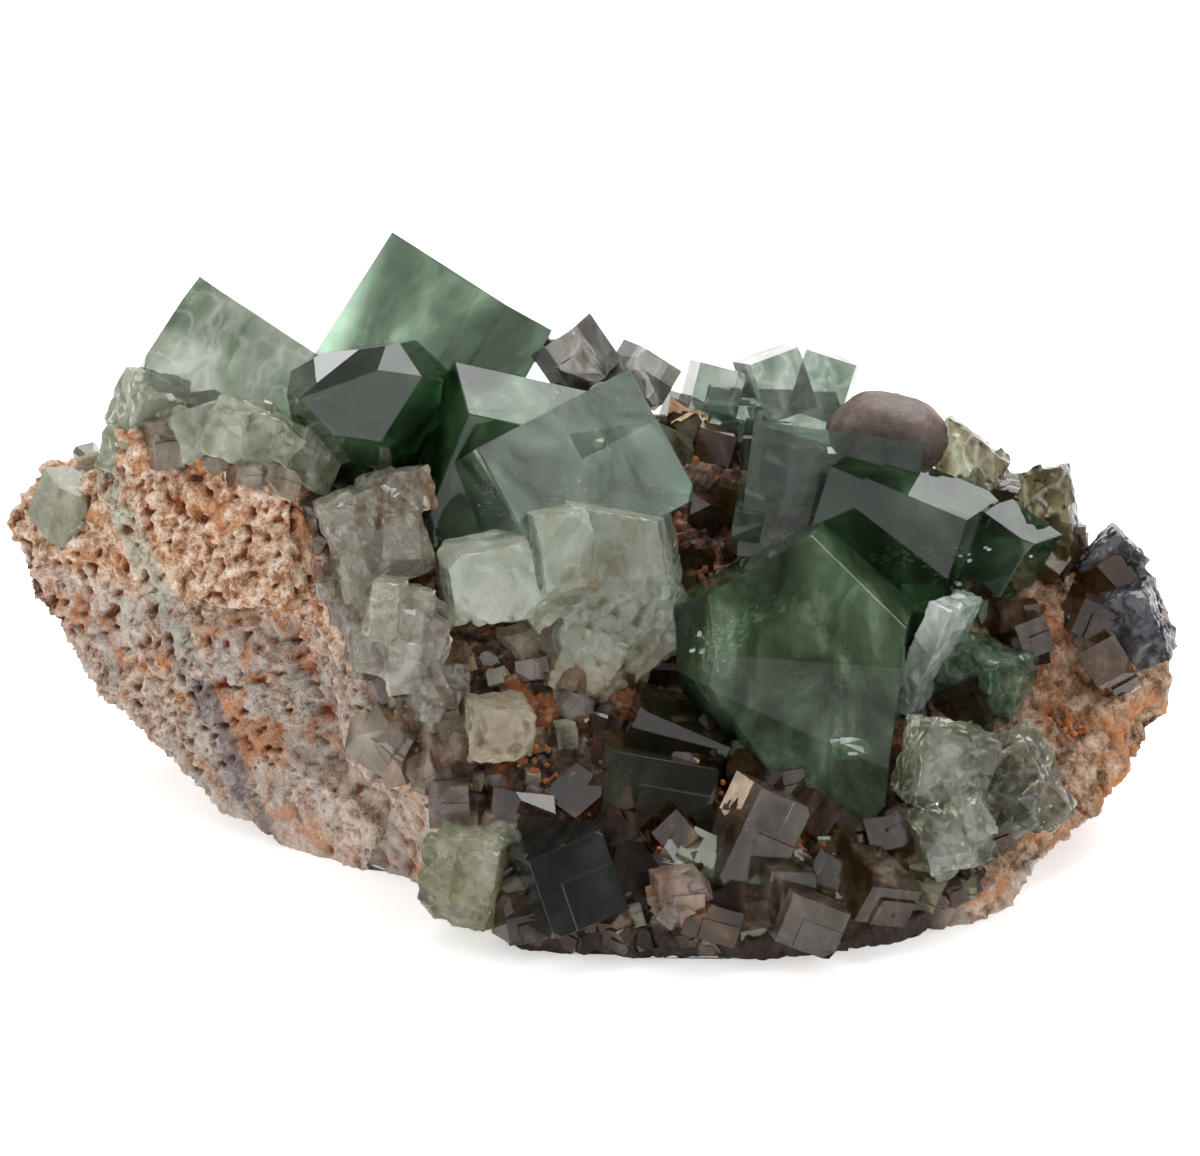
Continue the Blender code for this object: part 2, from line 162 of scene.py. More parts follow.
rock = join([rock_lump("lump", points) for points in ROCK_LUMPS], "rock_body")
apply_modifier(rock, "run_together", "REMESH", mode="VOXEL", voxel_size=ROCK_VOXEL * MM)
push_out(rock, rock_swell, rock_grain)
only(rock)
bpy.ops.object.mode_set(mode="EDIT")
bpy.ops.mesh.select_all(action="SELECT")
bpy.ops.mesh.bisect(plane_co=(0, 0, 0), plane_no=(0, 0, 1), use_fill=True, clear_inner=True)
bpy.ops.object.mode_set(mode="OBJECT")
bpy.ops.object.shade_smooth()


def shader_node(tree, kind, values=None, **settings):
    """A shader node with its settings, and with values set on its sockets by name."""
    made = tree.nodes.new(kind)
    for key, value in settings.items():
        setattr(made, key, value)
    for key, value in (values or {}).items():
        made.inputs[key].default_value = value
    return made


def wire(tree, source, output, target, socket):
    """Links an output to a socket by their names."""
    tree.links.new(source.outputs[output], target.inputs[socket])


def blank_material(name):
    """A new material, its tree, its shader and its coordinates."""
    mat = bpy.data.materials.new(name)
    mat.use_nodes = True
    tree = mat.node_tree
    return mat, tree, tree.nodes["Principled BSDF"], shader_node(tree, "ShaderNodeTexCoord")


def noise_of(tree, coords, scale, detail=4.0, roughness=0.55, distortion=0.0, mapping=None):
    """A noise pattern of that scale to the metre, read from the piece's own coordinates."""
    texture = shader_node(tree, "ShaderNodeTexNoise", {
        "Scale": scale, "Detail": detail, "Roughness": roughness, "Distortion": distortion})
    if mapping is None:
        wire(tree, coords, "Object", texture, "Vector")
    else:
        wire(tree, mapping, "Vector", texture, "Vector")
    return texture


def ramp_of(tree, source, output, stops, interpolation="LINEAR"):
    """Colours laid over a pattern's values: stops are (place, colour) from low to high."""
    ramp = shader_node(tree, "ShaderNodeValToRGB")
    ramp.color_ramp.interpolation = interpolation
    elements = ramp.color_ramp.elements
    while len(elements) < len(stops):
        elements.new(0.5)
    for element, (place, colour) in zip(elements, stops):
        element.position = place
        element.color = (*colour, 1.0) if len(colour) == 3 else colour
    wire(tree, source, output, ramp, "Fac")
    return ramp.outputs["Color"]


def mix_colours(tree, factor, low, high, blend="MIX", amount=None):
    """Mixes two colour outputs, or a colour output and a plain colour, by a factor output."""
    mix = shader_node(tree, "ShaderNodeMix", data_type="RGBA", blend_type=blend)
    if factor is None:
        mix.inputs[0].default_value = amount
    else:
        tree.links.new(factor, mix.inputs[0])
    for socket, value in ((6, low), (7, high)):
        if isinstance(value, tuple):
            mix.inputs[socket].default_value = (*value, 1.0)
        else:
            tree.links.new(value, mix.inputs[socket])
    return mix.outputs[2]


def grey(value):
    """A grey as a colour."""
    return (value, value, value)


def zone_of(tree, coords, direction, start, end):
    """0 before start and 1 after end, in millimetres along a direction."""
    along = shader_node(tree, "ShaderNodeVectorMath", operation="DOT_PRODUCT")
    along.inputs[1].default_value = direction
    wire(tree, coords, "Object", along, 0)
    zone = shader_node(tree, "ShaderNodeMapRange", {
        "From Min": start * MM, "From Max": end * MM}, interpolation_type="SMOOTHSTEP")
    wire(tree, along, "Value", zone, "Value")
    return zone.outputs["Result"]


def multiply(tree, first, second):
    """The product of two outputs, kept between 0 and 1."""
    times = shader_node(tree, "ShaderNodeMath", operation="MULTIPLY", use_clamp=True)
    tree.links.new(first, times.inputs[0])
    tree.links.new(second, times.inputs[1])
    return times.outputs["Value"]


def part_of(tree, coords, limits):
    """1 where a place is within all limits, each a direction and where along it the part
    starts and is full."""
    inside = None
    for limit in limits:
        zone = zone_of(tree, coords, *limit)
        inside = zone if inside is None else multiply(tree, inside, zone)
    return inside


def bump_of(tree, height, strength, distance, normal=None):
    """Bump of that height in mm, laid over an earlier one where there is one."""
    bump = shader_node(tree, "ShaderNodeBump", {"Strength": strength, "Distance": distance * MM})
    tree.links.new(height, bump.inputs["Height"])
    if normal is not None:
        tree.links.new(normal, bump.inputs["Normal"])
    return bump.outputs["Normal"]


def relief_shade_and_highlight(tree, colour, low, high, hollow, lump):
    """Paints shade into the hollows and a highlight onto the lumps that the shape of the piece has;
    hollow is the colour of the painted shade and lump that of the painted highlight.
    """
    relief = shader_node(tree, "ShaderNodeAttribute", attribute_name="relief")
    deep = shader_node(tree, "ShaderNodeMapRange", {
        "From Min": low, "From Max": low * 0.2, "To Min": 1.0, "To Max": 0.0})
    raised = shader_node(tree, "ShaderNodeMapRange", {"From Min": 0.0, "From Max": high})
    wire(tree, relief, "Fac", deep, "Value")
    wire(tree, relief, "Fac", raised, "Value")
    colour = mix_colours(tree, raised.outputs["Result"], colour, lump, "SCREEN")
    return mix_colours(tree, deep.outputs["Result"], colour, hollow, "MULTIPLY")


UNDER_CARPET = (
    ((0.787, 0.618, 0.0), -24.0, -20.0), ((-0.78, 0.62, 0.0), -41.5, -39.0),
    ((0.0, -1.0, 0.0), -33.0, -29.5))
PROUD_BLOCK = (((0.0, 0.0, 1.0), 19.0, 25.0), ((-1.0, 0.0, 0.0), 22.0, 27.0))
RIGHT_RIM = (((1.0, 0.0, 0.0), 30.0, 38.0), ((0.0, 0.0, 1.0), 1.0, 4.0))
FRONT_FOOT = (
    ((0.0, 0.0, -1.0), -5.0, -2.5), ((0.8, -0.6, 0.0), 6.0, 10.0),
    ((-1.0, 0.0, 0.0), -38.0, -32.0))
SEAM = (
    (SEAM_AXIS, SEAM_PLACE - SEAM_HALF, SEAM_PLACE - SEAM_HALF + SEAM_FADE),
    (-SEAM_AXIS, -SEAM_PLACE - SEAM_HALF, -SEAM_PLACE - SEAM_HALF + SEAM_FADE))


def rock_material():
    """Pale brown rock: grain, drawn-out streaks and dark bands, then its own places."""
    mat, tree, shader, coords = blank_material("host_rock")
    layers = shader_node(tree, "ShaderNodeMapping")
    layers.inputs["Rotation"].default_value = SEAM_AXIS.rotation_difference(
        Vector((0.0, 0.0, 1.0))).to_euler()
    wire(tree, coords, "Object", layers, "Vector")
    drawn_out = shader_node(tree, "ShaderNodeMapping", {"Scale": LAYER_STRETCH})
    wire(tree, layers, "Vector", drawn_out, "Vector")
    streaks = noise_of(tree, coords, 420, 4, 0.66, 0.7, drawn_out)
    bands = noise_of(tree, coords, 95, 4, 0.6, 1.2, drawn_out)
    grain = noise_of(tree, coords, 640, 4, 0.74)
    fine = noise_of(tree, coords, 2300, 2, 0.65)
    stain = noise_of(tree, coords, 150, 5, 0.68, 0.9)
    tan = ramp_of(tree, grain, "Fac", (
        (0.30, (0.13, 0.062, 0.030)), (0.42, (0.32, 0.195, 0.125)), (0.50, (0.50, 0.36, 0.27)),
        (0.60, (0.63, 0.50, 0.41)), (0.74, (0.78, 0.69, 0.61))))
    streaky = ramp_of(tree, streaks, "Fac", ((0.44, grey(0.0)), (0.58, grey(0.85))))
    colour = mix_colours(tree, streaky, tan, (0.50, 0.455, 0.415))
    dark_band = ramp_of(tree, bands, "Fac", ((0.60, grey(0.0)), (0.68, grey(0.7))))
    colour = mix_colours(tree, dark_band, colour, (0.185, 0.155, 0.155))
    # under the carpet of small crystals the rock is painted nearly black as shade, with rust in it
    under = ramp_of(tree, grain, "Fac", (
        (0.30, (0.010, 0.006, 0.004)), (0.45, (0.035, 0.018, 0.010)), (0.60, (0.10, 0.052, 0.030)),
        (0.76, (0.26, 0.17, 0.12))))
    carpet = part_of(tree, coords, UNDER_CARPET)
    colour = mix_colours(tree, carpet, colour, under)
    # the proud block is warmer and crumblier than the slope below it
    crumbly = ramp_of(tree, grain, "Fac", (
        (0.34, (0.15, 0.052, 0.018)), (0.45, (0.46, 0.24, 0.12)), (0.54, (0.70, 0.50, 0.36)),
        (0.68, (0.86, 0.76, 0.66))))
    colour = mix_colours(tree, part_of(tree, coords, PROUD_BLOCK), colour, crumbly)
    # the rim at the right end is sandy brown, with painted shade darkening it
    sandy_and_shaded = ramp_of(tree, grain, "Fac", (
        (0.36, (0.05, 0.022, 0.010)), (0.47, (0.27, 0.155, 0.085)), (0.57, (0.45, 0.30, 0.20)),
        (0.70, (0.62, 0.49, 0.38))))
    colour = mix_colours(tree, part_of(tree, coords, RIGHT_RIM), colour, sandy_and_shaded)
    rust = ramp_of(tree, stain, "Fac", ((0.53, grey(0.0)), (0.62, grey(0.75))))
    colour = mix_colours(tree, rust, colour, (0.50, 0.19, 0.055))
    deep_rust = multiply(tree, carpet, ramp_of(tree, stain, "Fac", (
        (0.47, grey(0.0)), (0.56, grey(0.7)))))
    colour = mix_colours(tree, deep_rust, colour, (0.30, 0.095, 0.025))
    # the pale green seam that runs down the left side and turns grey below
    seam_edge = ramp_of(tree, stain, "Fac", ((0.42, grey(0.0)), (0.54, grey(0.85))))
    seam_colour = mix_colours(tree, zone_of(tree, coords, (0.0, 0.0, 1.0), 14.0, 20.0),
                              (0.17, 0.15, 0.155), (0.37, 0.41, 0.34))
    seam = multiply(tree, part_of(tree, coords, SEAM), seam_edge)
    colour = mix_colours(tree, seam, colour, seam_colour)
    specks = shader_node(tree, "ShaderNodeTexVoronoi", {"Scale": PORE_SCALE})
    wire(tree, coords, "Object", specks, "Vector")
    pores = ramp_of(tree, specks, "Distance", ((0.06, (0.38, 0.24, 0.16)), (0.26, grey(1.0))))
    colour = mix_colours(tree, None, colour, pores, "MULTIPLY", 0.6)
    # painted shade in the hollows, tinted with the orange rust that lies in them, and a painted
    # highlight on the lumps
    colour = relief_shade_and_highlight(tree, colour, -0.70, 0.60, (0.46, 0.20, 0.085), (0.28, 0.24, 0.20))
    # the foot of the rim in front stays in the dark
    colour = mix_colours(tree, part_of(tree, coords, FRONT_FOOT), colour, (0.035, 0.020, 0.012))
    tree.links.new(colour, shader.inputs["Base Color"])
    rough = ramp_of(tree, fine, "Fac", ((0.3, grey(0.62)), (0.7, grey(0.92))))
    tree.links.new(rough, shader.inputs["Roughness"])
    relief = bump_of(tree, grain.outputs["Fac"], 1.0, 0.7)
    relief = bump_of(tree, streaks.outputs["Fac"], 0.6, 0.3, relief)
    relief = bump_of(tree, specks.outputs["Distance"], 0.9, 0.3, relief)
    relief = bump_of(tree, fine.outputs["Fac"], 0.7, 0.14, relief)
    tree.links.new(relief, shader.inputs["Normal"])
    return mat


def finish_piece(piece, material, slot, *replaced):
    piece.data.materials.clear()
    piece.data.materials.append(material)
    piece.data.transform(Matrix.Translation(TO_FRAME))
    piece.data.update()
    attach(piece, "root")
    if replaced:
        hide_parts(*replaced)
    return piece


ROCK_MATERIAL = rock_material()


# Large cube at the left back
# A frosted grey-green cube with one clean upper face. Fluorite grows as a cube and
# breaks along flat cleavage planes, so a crystal here is a cube that is trimmed by
# flat cuts, and many have thin growth plates standing proud of their faces.
START_BLOCK = 44.0
EDGE_WEAR = 0.10
SHARP_EDGE = math.radians(15)
PLATE_ROOT = 1.0
FLUORITE_IOR = 1.434
CLOUD_STRETCH = (1.0, 0.45, 0.6)
SPECK_SCALE = 420.0
CRACK_SCALE = 210.0
MILK_WHITE = (0.86, 0.88, 0.84)


def turned_by(turn):
    """The rotation that a turn in degrees about x, y and z makes."""
    return Euler([math.radians(angle) for angle in turn]).to_matrix()


def cut_cube(name, centre, size, turn, cuts=(), nicks=(), plates=(), wear=EDGE_WEAR):
    """A crystal. cuts are world directions with a distance from its middle, nicks are
    directions in its own axes with a depth, and plates are raised growth steps: axis,
    side, start and end along the other two axes, height. With no size it is cut from a
    large block."""
    size = size or (START_BLOCK, START_BLOCK, START_BLOCK)
    turned = turned_by(turn)
    middle = Vector(centre)

    def block(low, high):
        bpy.ops.object.select_all(action="DESELECT")
        bpy.ops.mesh.primitive_cube_add(size=1.0)
        made = bpy.context.object
        made.scale = [(b - a) * MM for a, b in zip(low, high)]
        made.rotation_euler = turned.to_euler()
        made.location = (middle + turned @ ((Vector(low) + Vector(high)) / 2)) * MM
        bpy.ops.object.transform_apply(location=True, rotation=True, scale=True)
        return made

    half = [length / 2 for length in size]
    crystal = block([-h for h in half], half)
    for axis, side, (u0, u1), (v0, v1), height in plates:
        low, high = [0.0] * 3, [0.0] * 3
        spans = {(axis + 1) % 3: (u0, u1), (axis + 2) % 3: (v0, v1)}
        for other, (start, end) in spans.items():
            low[other] = -half[other] + start * size[other]
            high[other] = -half[other] + end * size[other]
        low[axis], high[axis] = half[axis] - PLATE_ROOT, half[axis] + height
        if side < 0:
            low[axis], high[axis] = -half[axis] - height, -half[axis] + PLATE_ROOT
        plate = block(low, high)
        apply_modifier(crystal, "grow", "BOOLEAN", operation="UNION", solver="EXACT", object=plate)
        bpy.data.objects.remove(plate)
    planes = [(Vector(cut[:3]).normalized(), cut[3]) for cut in cuts]
    for nx, ny, nz, depth in nicks:
        local = Vector((nx, ny, nz)).normalized()
        reach = sum(abs(local[axis]) * half[axis] for axis in range(3))
        planes.append((turned @ local, reach - depth))
    only(crystal)
    bpy.ops.object.mode_set(mode="EDIT")
    for normal, distance in planes:
        bpy.ops.mesh.select_all(action="SELECT")
        bpy.ops.mesh.bisect(plane_co=(middle + normal * distance) * MM, plane_no=normal,
                            use_fill=True, clear_outer=True, threshold=1e-7)
    bpy.ops.object.mode_set(mode="OBJECT")
    if wear:
        apply_modifier(crystal, "wear", "BEVEL", width=wear * MM, segments=1,
                       limit_method="ANGLE", angle_limit=SHARP_EDGE, use_clamp_overlap=True)
    crystal.name = name
    crystal.data.name = name
    return crystal


def fluorite_material(name, tones, absorb=None, density=0.0, turn=(0, 0, 0), clear=0.8,
                      rough=(0.03, 0.12), cloud=120.0, ripples=0.5, speck=0.0, cracks=0.0,
                      shaded_relief=False, zones=(), tints=()):
    """Fluorite, clear to milky. tones run from the darkest to the palest cloud inside it,
    drawn out along the crystal's own turn. absorb is the colour that light keeps on its
    way through, with its density to the metre. speck and cracks are white dots and veils,
    and ripples is the waviness of the faces. A zone is a direction, its start and end in
    mm and the colour there, and tints are the shades that the crystals of one carpet take
    by their attribute tint."""
    mat, tree, shader, coords = blank_material(name)
    own_axes = shader_node(tree, "ShaderNodeMapping", vector_type="TEXTURE")
    own_axes.inputs["Rotation"].default_value = [math.radians(angle) for angle in turn]
    wire(tree, coords, "Object", own_axes, "Vector")
    drawn_out = shader_node(tree, "ShaderNodeMapping", {"Scale": CLOUD_STRETCH})
    wire(tree, own_axes, "Vector", drawn_out, "Vector")
    clouds = noise_of(tree, coords, cloud, 4, 0.62, 0.9, drawn_out)
    stops = [(0.34 + 0.34 * index / (len(tones) - 1), tone) for index, tone in enumerate(tones)]
    colour = ramp_of(tree, clouds, "Fac", stops)
    if tints:
        own_tint = shader_node(tree, "ShaderNodeAttribute", attribute_name="tint")
        shades = ramp_of(tree, own_tint, "Fac", [
            (index / len(tints), shade) for index, shade in enumerate(tints)], "CONSTANT")
        colour = mix_colours(tree, None, colour, shades, "MULTIPLY", 1.0)
    for direction, start, end, zone_colour in zones:
        ragged = ramp_of(tree, clouds, "Fac", ((0.30, grey(0.15)), (0.60, grey(1.0))))
        part = multiply(tree, zone_of(tree, coords, direction, start, end), ragged)
        colour = mix_colours(tree, part, colour, zone_colour)
    if speck:
        dots = shader_node(tree, "ShaderNodeTexVoronoi", {"Scale": SPECK_SCALE})
        wire(tree, coords, "Object", dots, "Vector")
        dots = ramp_of(tree, dots, "Distance", ((0.05, grey(speck)), (0.13, grey(0.0))))
        colour = mix_colours(tree, dots, colour, (0.85, 0.87, 0.84))
    if cracks:
        bent = noise_of(tree, coords, 120, 2, 0.6)
        veil = shader_node(tree, "ShaderNodeTexVoronoi", {"Scale": CRACK_SCALE},
                           feature="DISTANCE_TO_EDGE")
        tree.links.new(mix_colours(tree, None, drawn_out.outputs["Vector"],
                                   bent.outputs["Color"], "ADD", 0.012), veil.inputs["Vector"])
        veil = ramp_of(tree, veil, "Distance", ((0.0, grey(cracks)), (0.07, grey(0.0))))
        colour = mix_colours(tree, veil, colour, MILK_WHITE)
    # painted shade in the etched pits, tinted brown, and a painted highlight on the lumps between
    # them
    if shaded_relief:
        colour = relief_shade_and_highlight(tree, colour, -0.45, 0.5, (0.45, 0.36, 0.26), (0.20, 0.20, 0.18))
    tree.links.new(colour, shader.inputs["Base Color"])
    smear = noise_of(tree, coords, 260, 2, 0.6)
    polish = ramp_of(tree, smear, "Fac", ((0.40, grey(rough[0])), (0.70, grey(rough[1]))))
    tree.links.new(polish, shader.inputs["Roughness"])
    shader.inputs["Transmission Weight"].default_value = clear
    shader.inputs["IOR"].default_value = FLUORITE_IOR
    ripple = noise_of(tree, coords, 170, 1, 0.5, 0.0, own_axes)
    tree.links.new(bump_of(tree, ripple.outputs["Fac"], 0.25 * ripples, 0.3),
                   shader.inputs["Normal"])
    if absorb:
        volume = shader_node(tree, "ShaderNodeVolumeAbsorption", {
            "Color": (*absorb, 1.0), "Density": density})
        wire(tree, volume, "Volume", tree.nodes["Material Output"], "Volume")
    return mat


GREEN_ABSORB = (0.14, 0.46, 0.22)
DARK_GREENS = ((0.010, 0.028, 0.009), (0.045, 0.105, 0.038), (0.15, 0.29, 0.14), (0.46, 0.66, 0.46))
MID_GREENS = ((0.022, 0.042, 0.02), (0.075, 0.11, 0.07), (0.16, 0.215, 0.155), (0.45, 0.58, 0.46))
FLAKE_CORNERS = 7
FLAKE_THICKNESS = 0.03
flake_dice = random.Random(5)


def copy_of(model, placing):
    """A copy of a model with its own mesh, placed by a matrix."""
    copy = model.copy()
    copy.data = model.data.copy()
    bpy.context.scene.collection.objects.link(copy)
    copy.data.transform(placing)
    return copy


def crack_flakes(name, patches):
    """Inner cracks as patches of tiny flat flakes that catch the light. A patch has a place,
    its spread along its own x and y, a turn, and the number and size of its flakes."""
    bpy.ops.object.select_all(action="DESELECT")
    bpy.ops.mesh.primitive_circle_add(vertices=FLAKE_CORNERS, fill_type="NGON", radius=MM)
    model = bpy.context.object
    for vert in model.data.vertices:
        vert.co *= flake_dice.uniform(0.6, 1.0)
    apply_modifier(model, "thickness", "SOLIDIFY", thickness=FLAKE_THICKNESS * MM)
    made = []
    for place, spread, turn, count, size in patches:
        plane = turned_by(turn)
        for index in range(count):
            across = Vector((flake_dice.gauss(0, spread[0] / 2), flake_dice.gauss(0, spread[1] / 2),
                             flake_dice.gauss(0, 0.25)))
            lean = turned_by([flake_dice.gauss(angle, 6 / size) for angle in turn])
            reach = size * flake_dice.uniform(0.25, 1.1)
            shape = Matrix.Diagonal((reach, reach * flake_dice.uniform(0.3, 0.8), 1.0, 1.0))
            placing = Matrix.Translation((Vector(place) + plane @ across) * MM)
            made.append(copy_of(model, placing @ lean.to_4x4() @ shape))
    bpy.data.objects.remove(model)
    return join(made, name)


LEFT_TURN = (-27, 30, -15)
left_cube = cut_cube(
    "left_cube", (-38.4, 20.0, 39.5), (16.5, 14.0, 17.3), LEFT_TURN,
    cuts=((-0.95, -0.20, 0.25, 9.6),), nicks=((-1, -1, 1, 1.6), (1, -1, 1, 0.5)),
    plates=((1, -1, (0.0, 0.62), (0.1, 0.8), 0.22), (1, -1, (0.25, 1.0), (0.45, 1.0), 0.38)))
finish_piece(left_cube, fluorite_material(
    "left_cube_green", ((0.035, 0.085, 0.04), (0.17, 0.20, 0.15), (0.30, 0.32, 0.27),
    (0.56, 0.60, 0.52)), (0.44, 0.52, 0.42), 40.0, LEFT_TURN, clear=0.78, rough=(0.02, 0.24),
    cloud=125.0, speck=0.35, cracks=0.18),
    "green_crystal", "cube_left")


# Tall cubes at the back
# The brightest green on the specimen: a clear cube that stands above everything, with a
# smaller cube grown against its right side.
BACK_TURN = (-26, 31, -11)
crack_white = fluorite_material(
    "crack_white", ((0.45, 0.56, 0.50), (0.72, 0.80, 0.76), (0.92, 0.95, 0.94)),
    clear=0.55, rough=(0.08, 0.3), cloud=500.0)
back_green = fluorite_material(
    "back_cube_green", MID_GREENS, (0.32, 0.50, 0.36), 30.0, BACK_TURN, clear=0.84,
    rough=(0.0, 0.08), cloud=95.0, ripples=0.3,
    zones=(((-1.0, 0.0, 0.35), 39.0, 43.0, (0.60, 0.82, 0.65)),))
back_cube = cut_cube("back_cube", (-20.5, 23.0, 43.8), (13.5, 13.0, 18.0), BACK_TURN,
                     nicks=((-1, -1, 1, 0.3),), wear=0.0)
back_cube_small = cut_cube("back_cube_small", (-11.2, 28.0, 40.6), (9.0, 10.0, 10.0),
                           (-26, 26, -13), wear=0.0)
apply_modifier(back_cube, "grown", "BOOLEAN", operation="UNION", solver="EXACT",
               object=back_cube_small)
bpy.data.objects.remove(back_cube_small)
apply_modifier(back_cube, "wear", "BEVEL", width=EDGE_WEAR * MM, segments=1,
               limit_method="ANGLE", angle_limit=SHARP_EDGE)
finish_piece(back_cube, back_green, "green_crystal", "cubes_back")


# Dark twin
# Two cubes grown through each other, so it shows many faces. It is nearly black from the
# front and bright green along its lower edge, where light comes through it.
DARK_CUTS = (
    (0.09, -0.96, 0.28, 6.6), (0.17, -0.31, 0.93, 7.3), (-0.25, -0.23, 0.94, 6.6),
    (0.79, -0.49, -0.36, 4.6), (-0.05, -0.87, -0.49, 6.5), (-0.71, -0.44, -0.55, 5.8),
    (-0.10, -0.49, -0.87, 6.2), (-0.14, 0.36, 0.92, 5.8), (0.00, 1.00, 0.00, 6.0),
    (0.98, -0.11, -0.16, 6.5), (-0.52, 0.11, 0.85, 6.0), (0.72, 0.10, 0.69, 6.8),
    (-1.00, 0.00, 0.00, 8.4), (0.00, 0.00, -1.00, 12.0))
dark_twin = cut_cube("dark_twin", (-22.7, 6.0, 44.1), None, (0, 0, 0), DARK_CUTS)
finish_piece(dark_twin, fluorite_material(
    "dark_twin_green", DARK_GREENS, GREEN_ABSORB, 60.0, (0, 0, 0), clear=0.92,
    rough=(0.0, 0.05), cloud=90.0, ripples=0.25), "dark_crystal", "twin_dark")


# Centre cubes
# The large pale cube of the middle, the darker prism that it grew against, and the
# frosted cream-green cubes under it, which are etched at their lower ends.
CENTRE_TURN = (-36, -11, 37)
centre_cube = cut_cube(
    "centre_cube", (-4.0, 8.0, 34.0), (19.3, 14.3, 14.6), CENTRE_TURN,
    plates=((1, -1, (0.0, 0.6), (0.35, 1.0), 0.2), (1, -1, (0.3, 1.0), (0.0, 0.5), 0.28)),
    nicks=((1, -1, -1, 0.7),))
finish_piece(centre_cube, fluorite_material(
    "centre_cube_green", ((0.07, 0.15, 0.08), (0.28, 0.38, 0.29), (0.46, 0.58, 0.48),
    (0.74, 0.88, 0.76)), GREEN_ABSORB, 14.0, CENTRE_TURN, clear=0.76, rough=(0.01, 0.10),
    cloud=115.0, speck=0.4, ripples=0.3,
    zones=(((1.0, 0.0, -0.75), -19.0, -16.0, (0.52, 0.82, 0.60)),)),
    "green_crystal", "cubes_centre")
centre_prism = cut_cube(
    "centre_prism", (-10.1, 10.0, 40.8), None, (0, 0, 0), (
        (0.22, -0.32, 0.92, 3.5), (-0.84, -0.35, 0.40, 5.4), (0.04, -0.98, 0.17, 5.2),
        (1.00, 0.00, 0.00, 10.6), (0.05, 0.98, 0.20, 2.8), (0.00, 0.00, -1.00, 10.8),
        (-1.00, 0.00, 0.00, 8.5)))
finish_piece(centre_prism, fluorite_material(
    "centre_prism_green", DARK_GREENS, GREEN_ABSORB, 45.0, (0, 0, 0), clear=0.62,
    rough=(0.02, 0.10), cloud=140.0, speck=0.3), "dark_crystal", "cubes_centre")
finish_piece(crack_flakes("centre_flakes", (
    ((-4.5, 2.4, 35.2), (6.5, 1.2), (62, 0, 12), 46, 0.42),
    ((-9.5, 3.4, 36.5), (2.5, 2.5), (50, -30, 20), 24, 0.4),
    ((1.5, 5.4, 37.0), (4.5, 3.5), (70, 20, 35), 16, 0.3))), crack_white,
    "green_crystal", "cubes_centre")

FROSTED_CENTRE = (
    ((1.0, -2.0, 25.3), None, (0, 0, 0), (
        (0.31, -0.92, 0.26, 2.9), (-0.95, -0.26, 0.19, 5.8), (0.98, -0.10, 0.20, 6.3),
        (0.63, -0.51, -0.59, 7.2), (0.18, -0.50, -0.85, 10.0), (0.23, 0.26, 0.94, 10.0),
        (0.00, 1.00, 0.00, 10.0))),
    ((-11.1, -5.0, 30.2), (8.5, 9.0, 7.5), (-13, -7, 12), (),
     ((1, -1, 1, 1.0), (-1, -1, -1, 1.8), (1, -1, -1, 0.9), (-1, 0, 1, 0.8))),
    ((-3.9, -4.0, 32.6), (5.5, 8.0, 8.5), (-16, -2, 15), (),
     ((-1, -1, 1, 1.7), (1, -1, 1, 1.2), (0, -1, -1, 0.8))),
    ((-10.0, -14.0, 18.2), (6.5, 7.0, 5.5), (-11, 3, 7), (),
     ((1, -1, -1, 1.2), (-1, -1, 1, 0.9), (1, 0, 1, 0.6))),
    ((-6.5, -6.0, 28.6), (4.0, 5.0, 4.5), (20, -30, 25), (), ((1, -1, 1, 0.8),)),
    ((-1.0, -5.5, 21.0), (6.0, 6.0, 7.0), (-25, 20, -15), (), ((1, -1, -1, 1.4),)),
)


FLAT_BREAK = math.radians(12)
ROUND_EDGE = math.radians(30)
CLEAN_ZONE = 7.0


def weather(whole, voxel, depth, scale, top=None, facets=None):
    """Runs crystals together and eats into them; above top, in mm, the faces stay cleaner.
    facets is the share of faces that is kept, which leaves flat broken ones."""
    apply_modifier(whole, "run_together", "REMESH", mode="VOXEL", voxel_size=voxel * MM)

    def share(place):
        return 1.0 if top is None else min(1.0, max(0.2, (top - place.z) / CLEAN_ZONE))

    def eaten(place):
        return noise.fractal(place * scale, 0.9, 2.1, 3) * depth * share(place)

    def dimples(place):
        dimple = max(0.0, noise.noise(place * scale * 1.5 + Vector((9.0, 2.0, 1.0))) - 0.12) * 2.4
        crumbs = (0.45 - noise.voronoi(place * scale * 1.7)[0][0]) * 0.7
        return (crumbs - dimple) * depth * share(place)

    push_out(whole, eaten, dimples)
    if facets:
        apply_modifier(whole, "break", "DECIMATE", ratio=facets)
    only(whole)
    bpy.ops.object.shade_smooth_by_angle(angle=FLAT_BREAK if facets else ROUND_EDGE)


shard_dice = random.Random(3)


def etched(crystals, name, voxel=0.42, depth=0.35, scale=0.5, top=None, facets=None, shards=0):
    """Cubes of one cluster, eaten into, with that many shards split off along their faces."""
    parts = [cut_cube("etch", *crystal, wear=0.0) for crystal in crystals]
    for centre, size, turn, *cuts in crystals:
        own = turned_by(turn)
        for index in range(shards):
            spot = own @ Vector([shard_dice.uniform(-0.5, 0.5) * length for length in size])
            length = shard_dice.uniform(0.25, 0.5) * min(size)
            spot.z = max(spot.z, 1.6 * length - centre[2])
            parts.append(cut_cube(
                "shard", Vector(centre) + spot,
                (length, length * shard_dice.uniform(0.4, 1.5), length * shard_dice.uniform(1, 2)),
                [angle + shard_dice.gauss(0, 9) for angle in turn], wear=0.0))
    whole = join(parts, name)
    weather(whole, voxel, depth, scale, top, facets)
    return whole
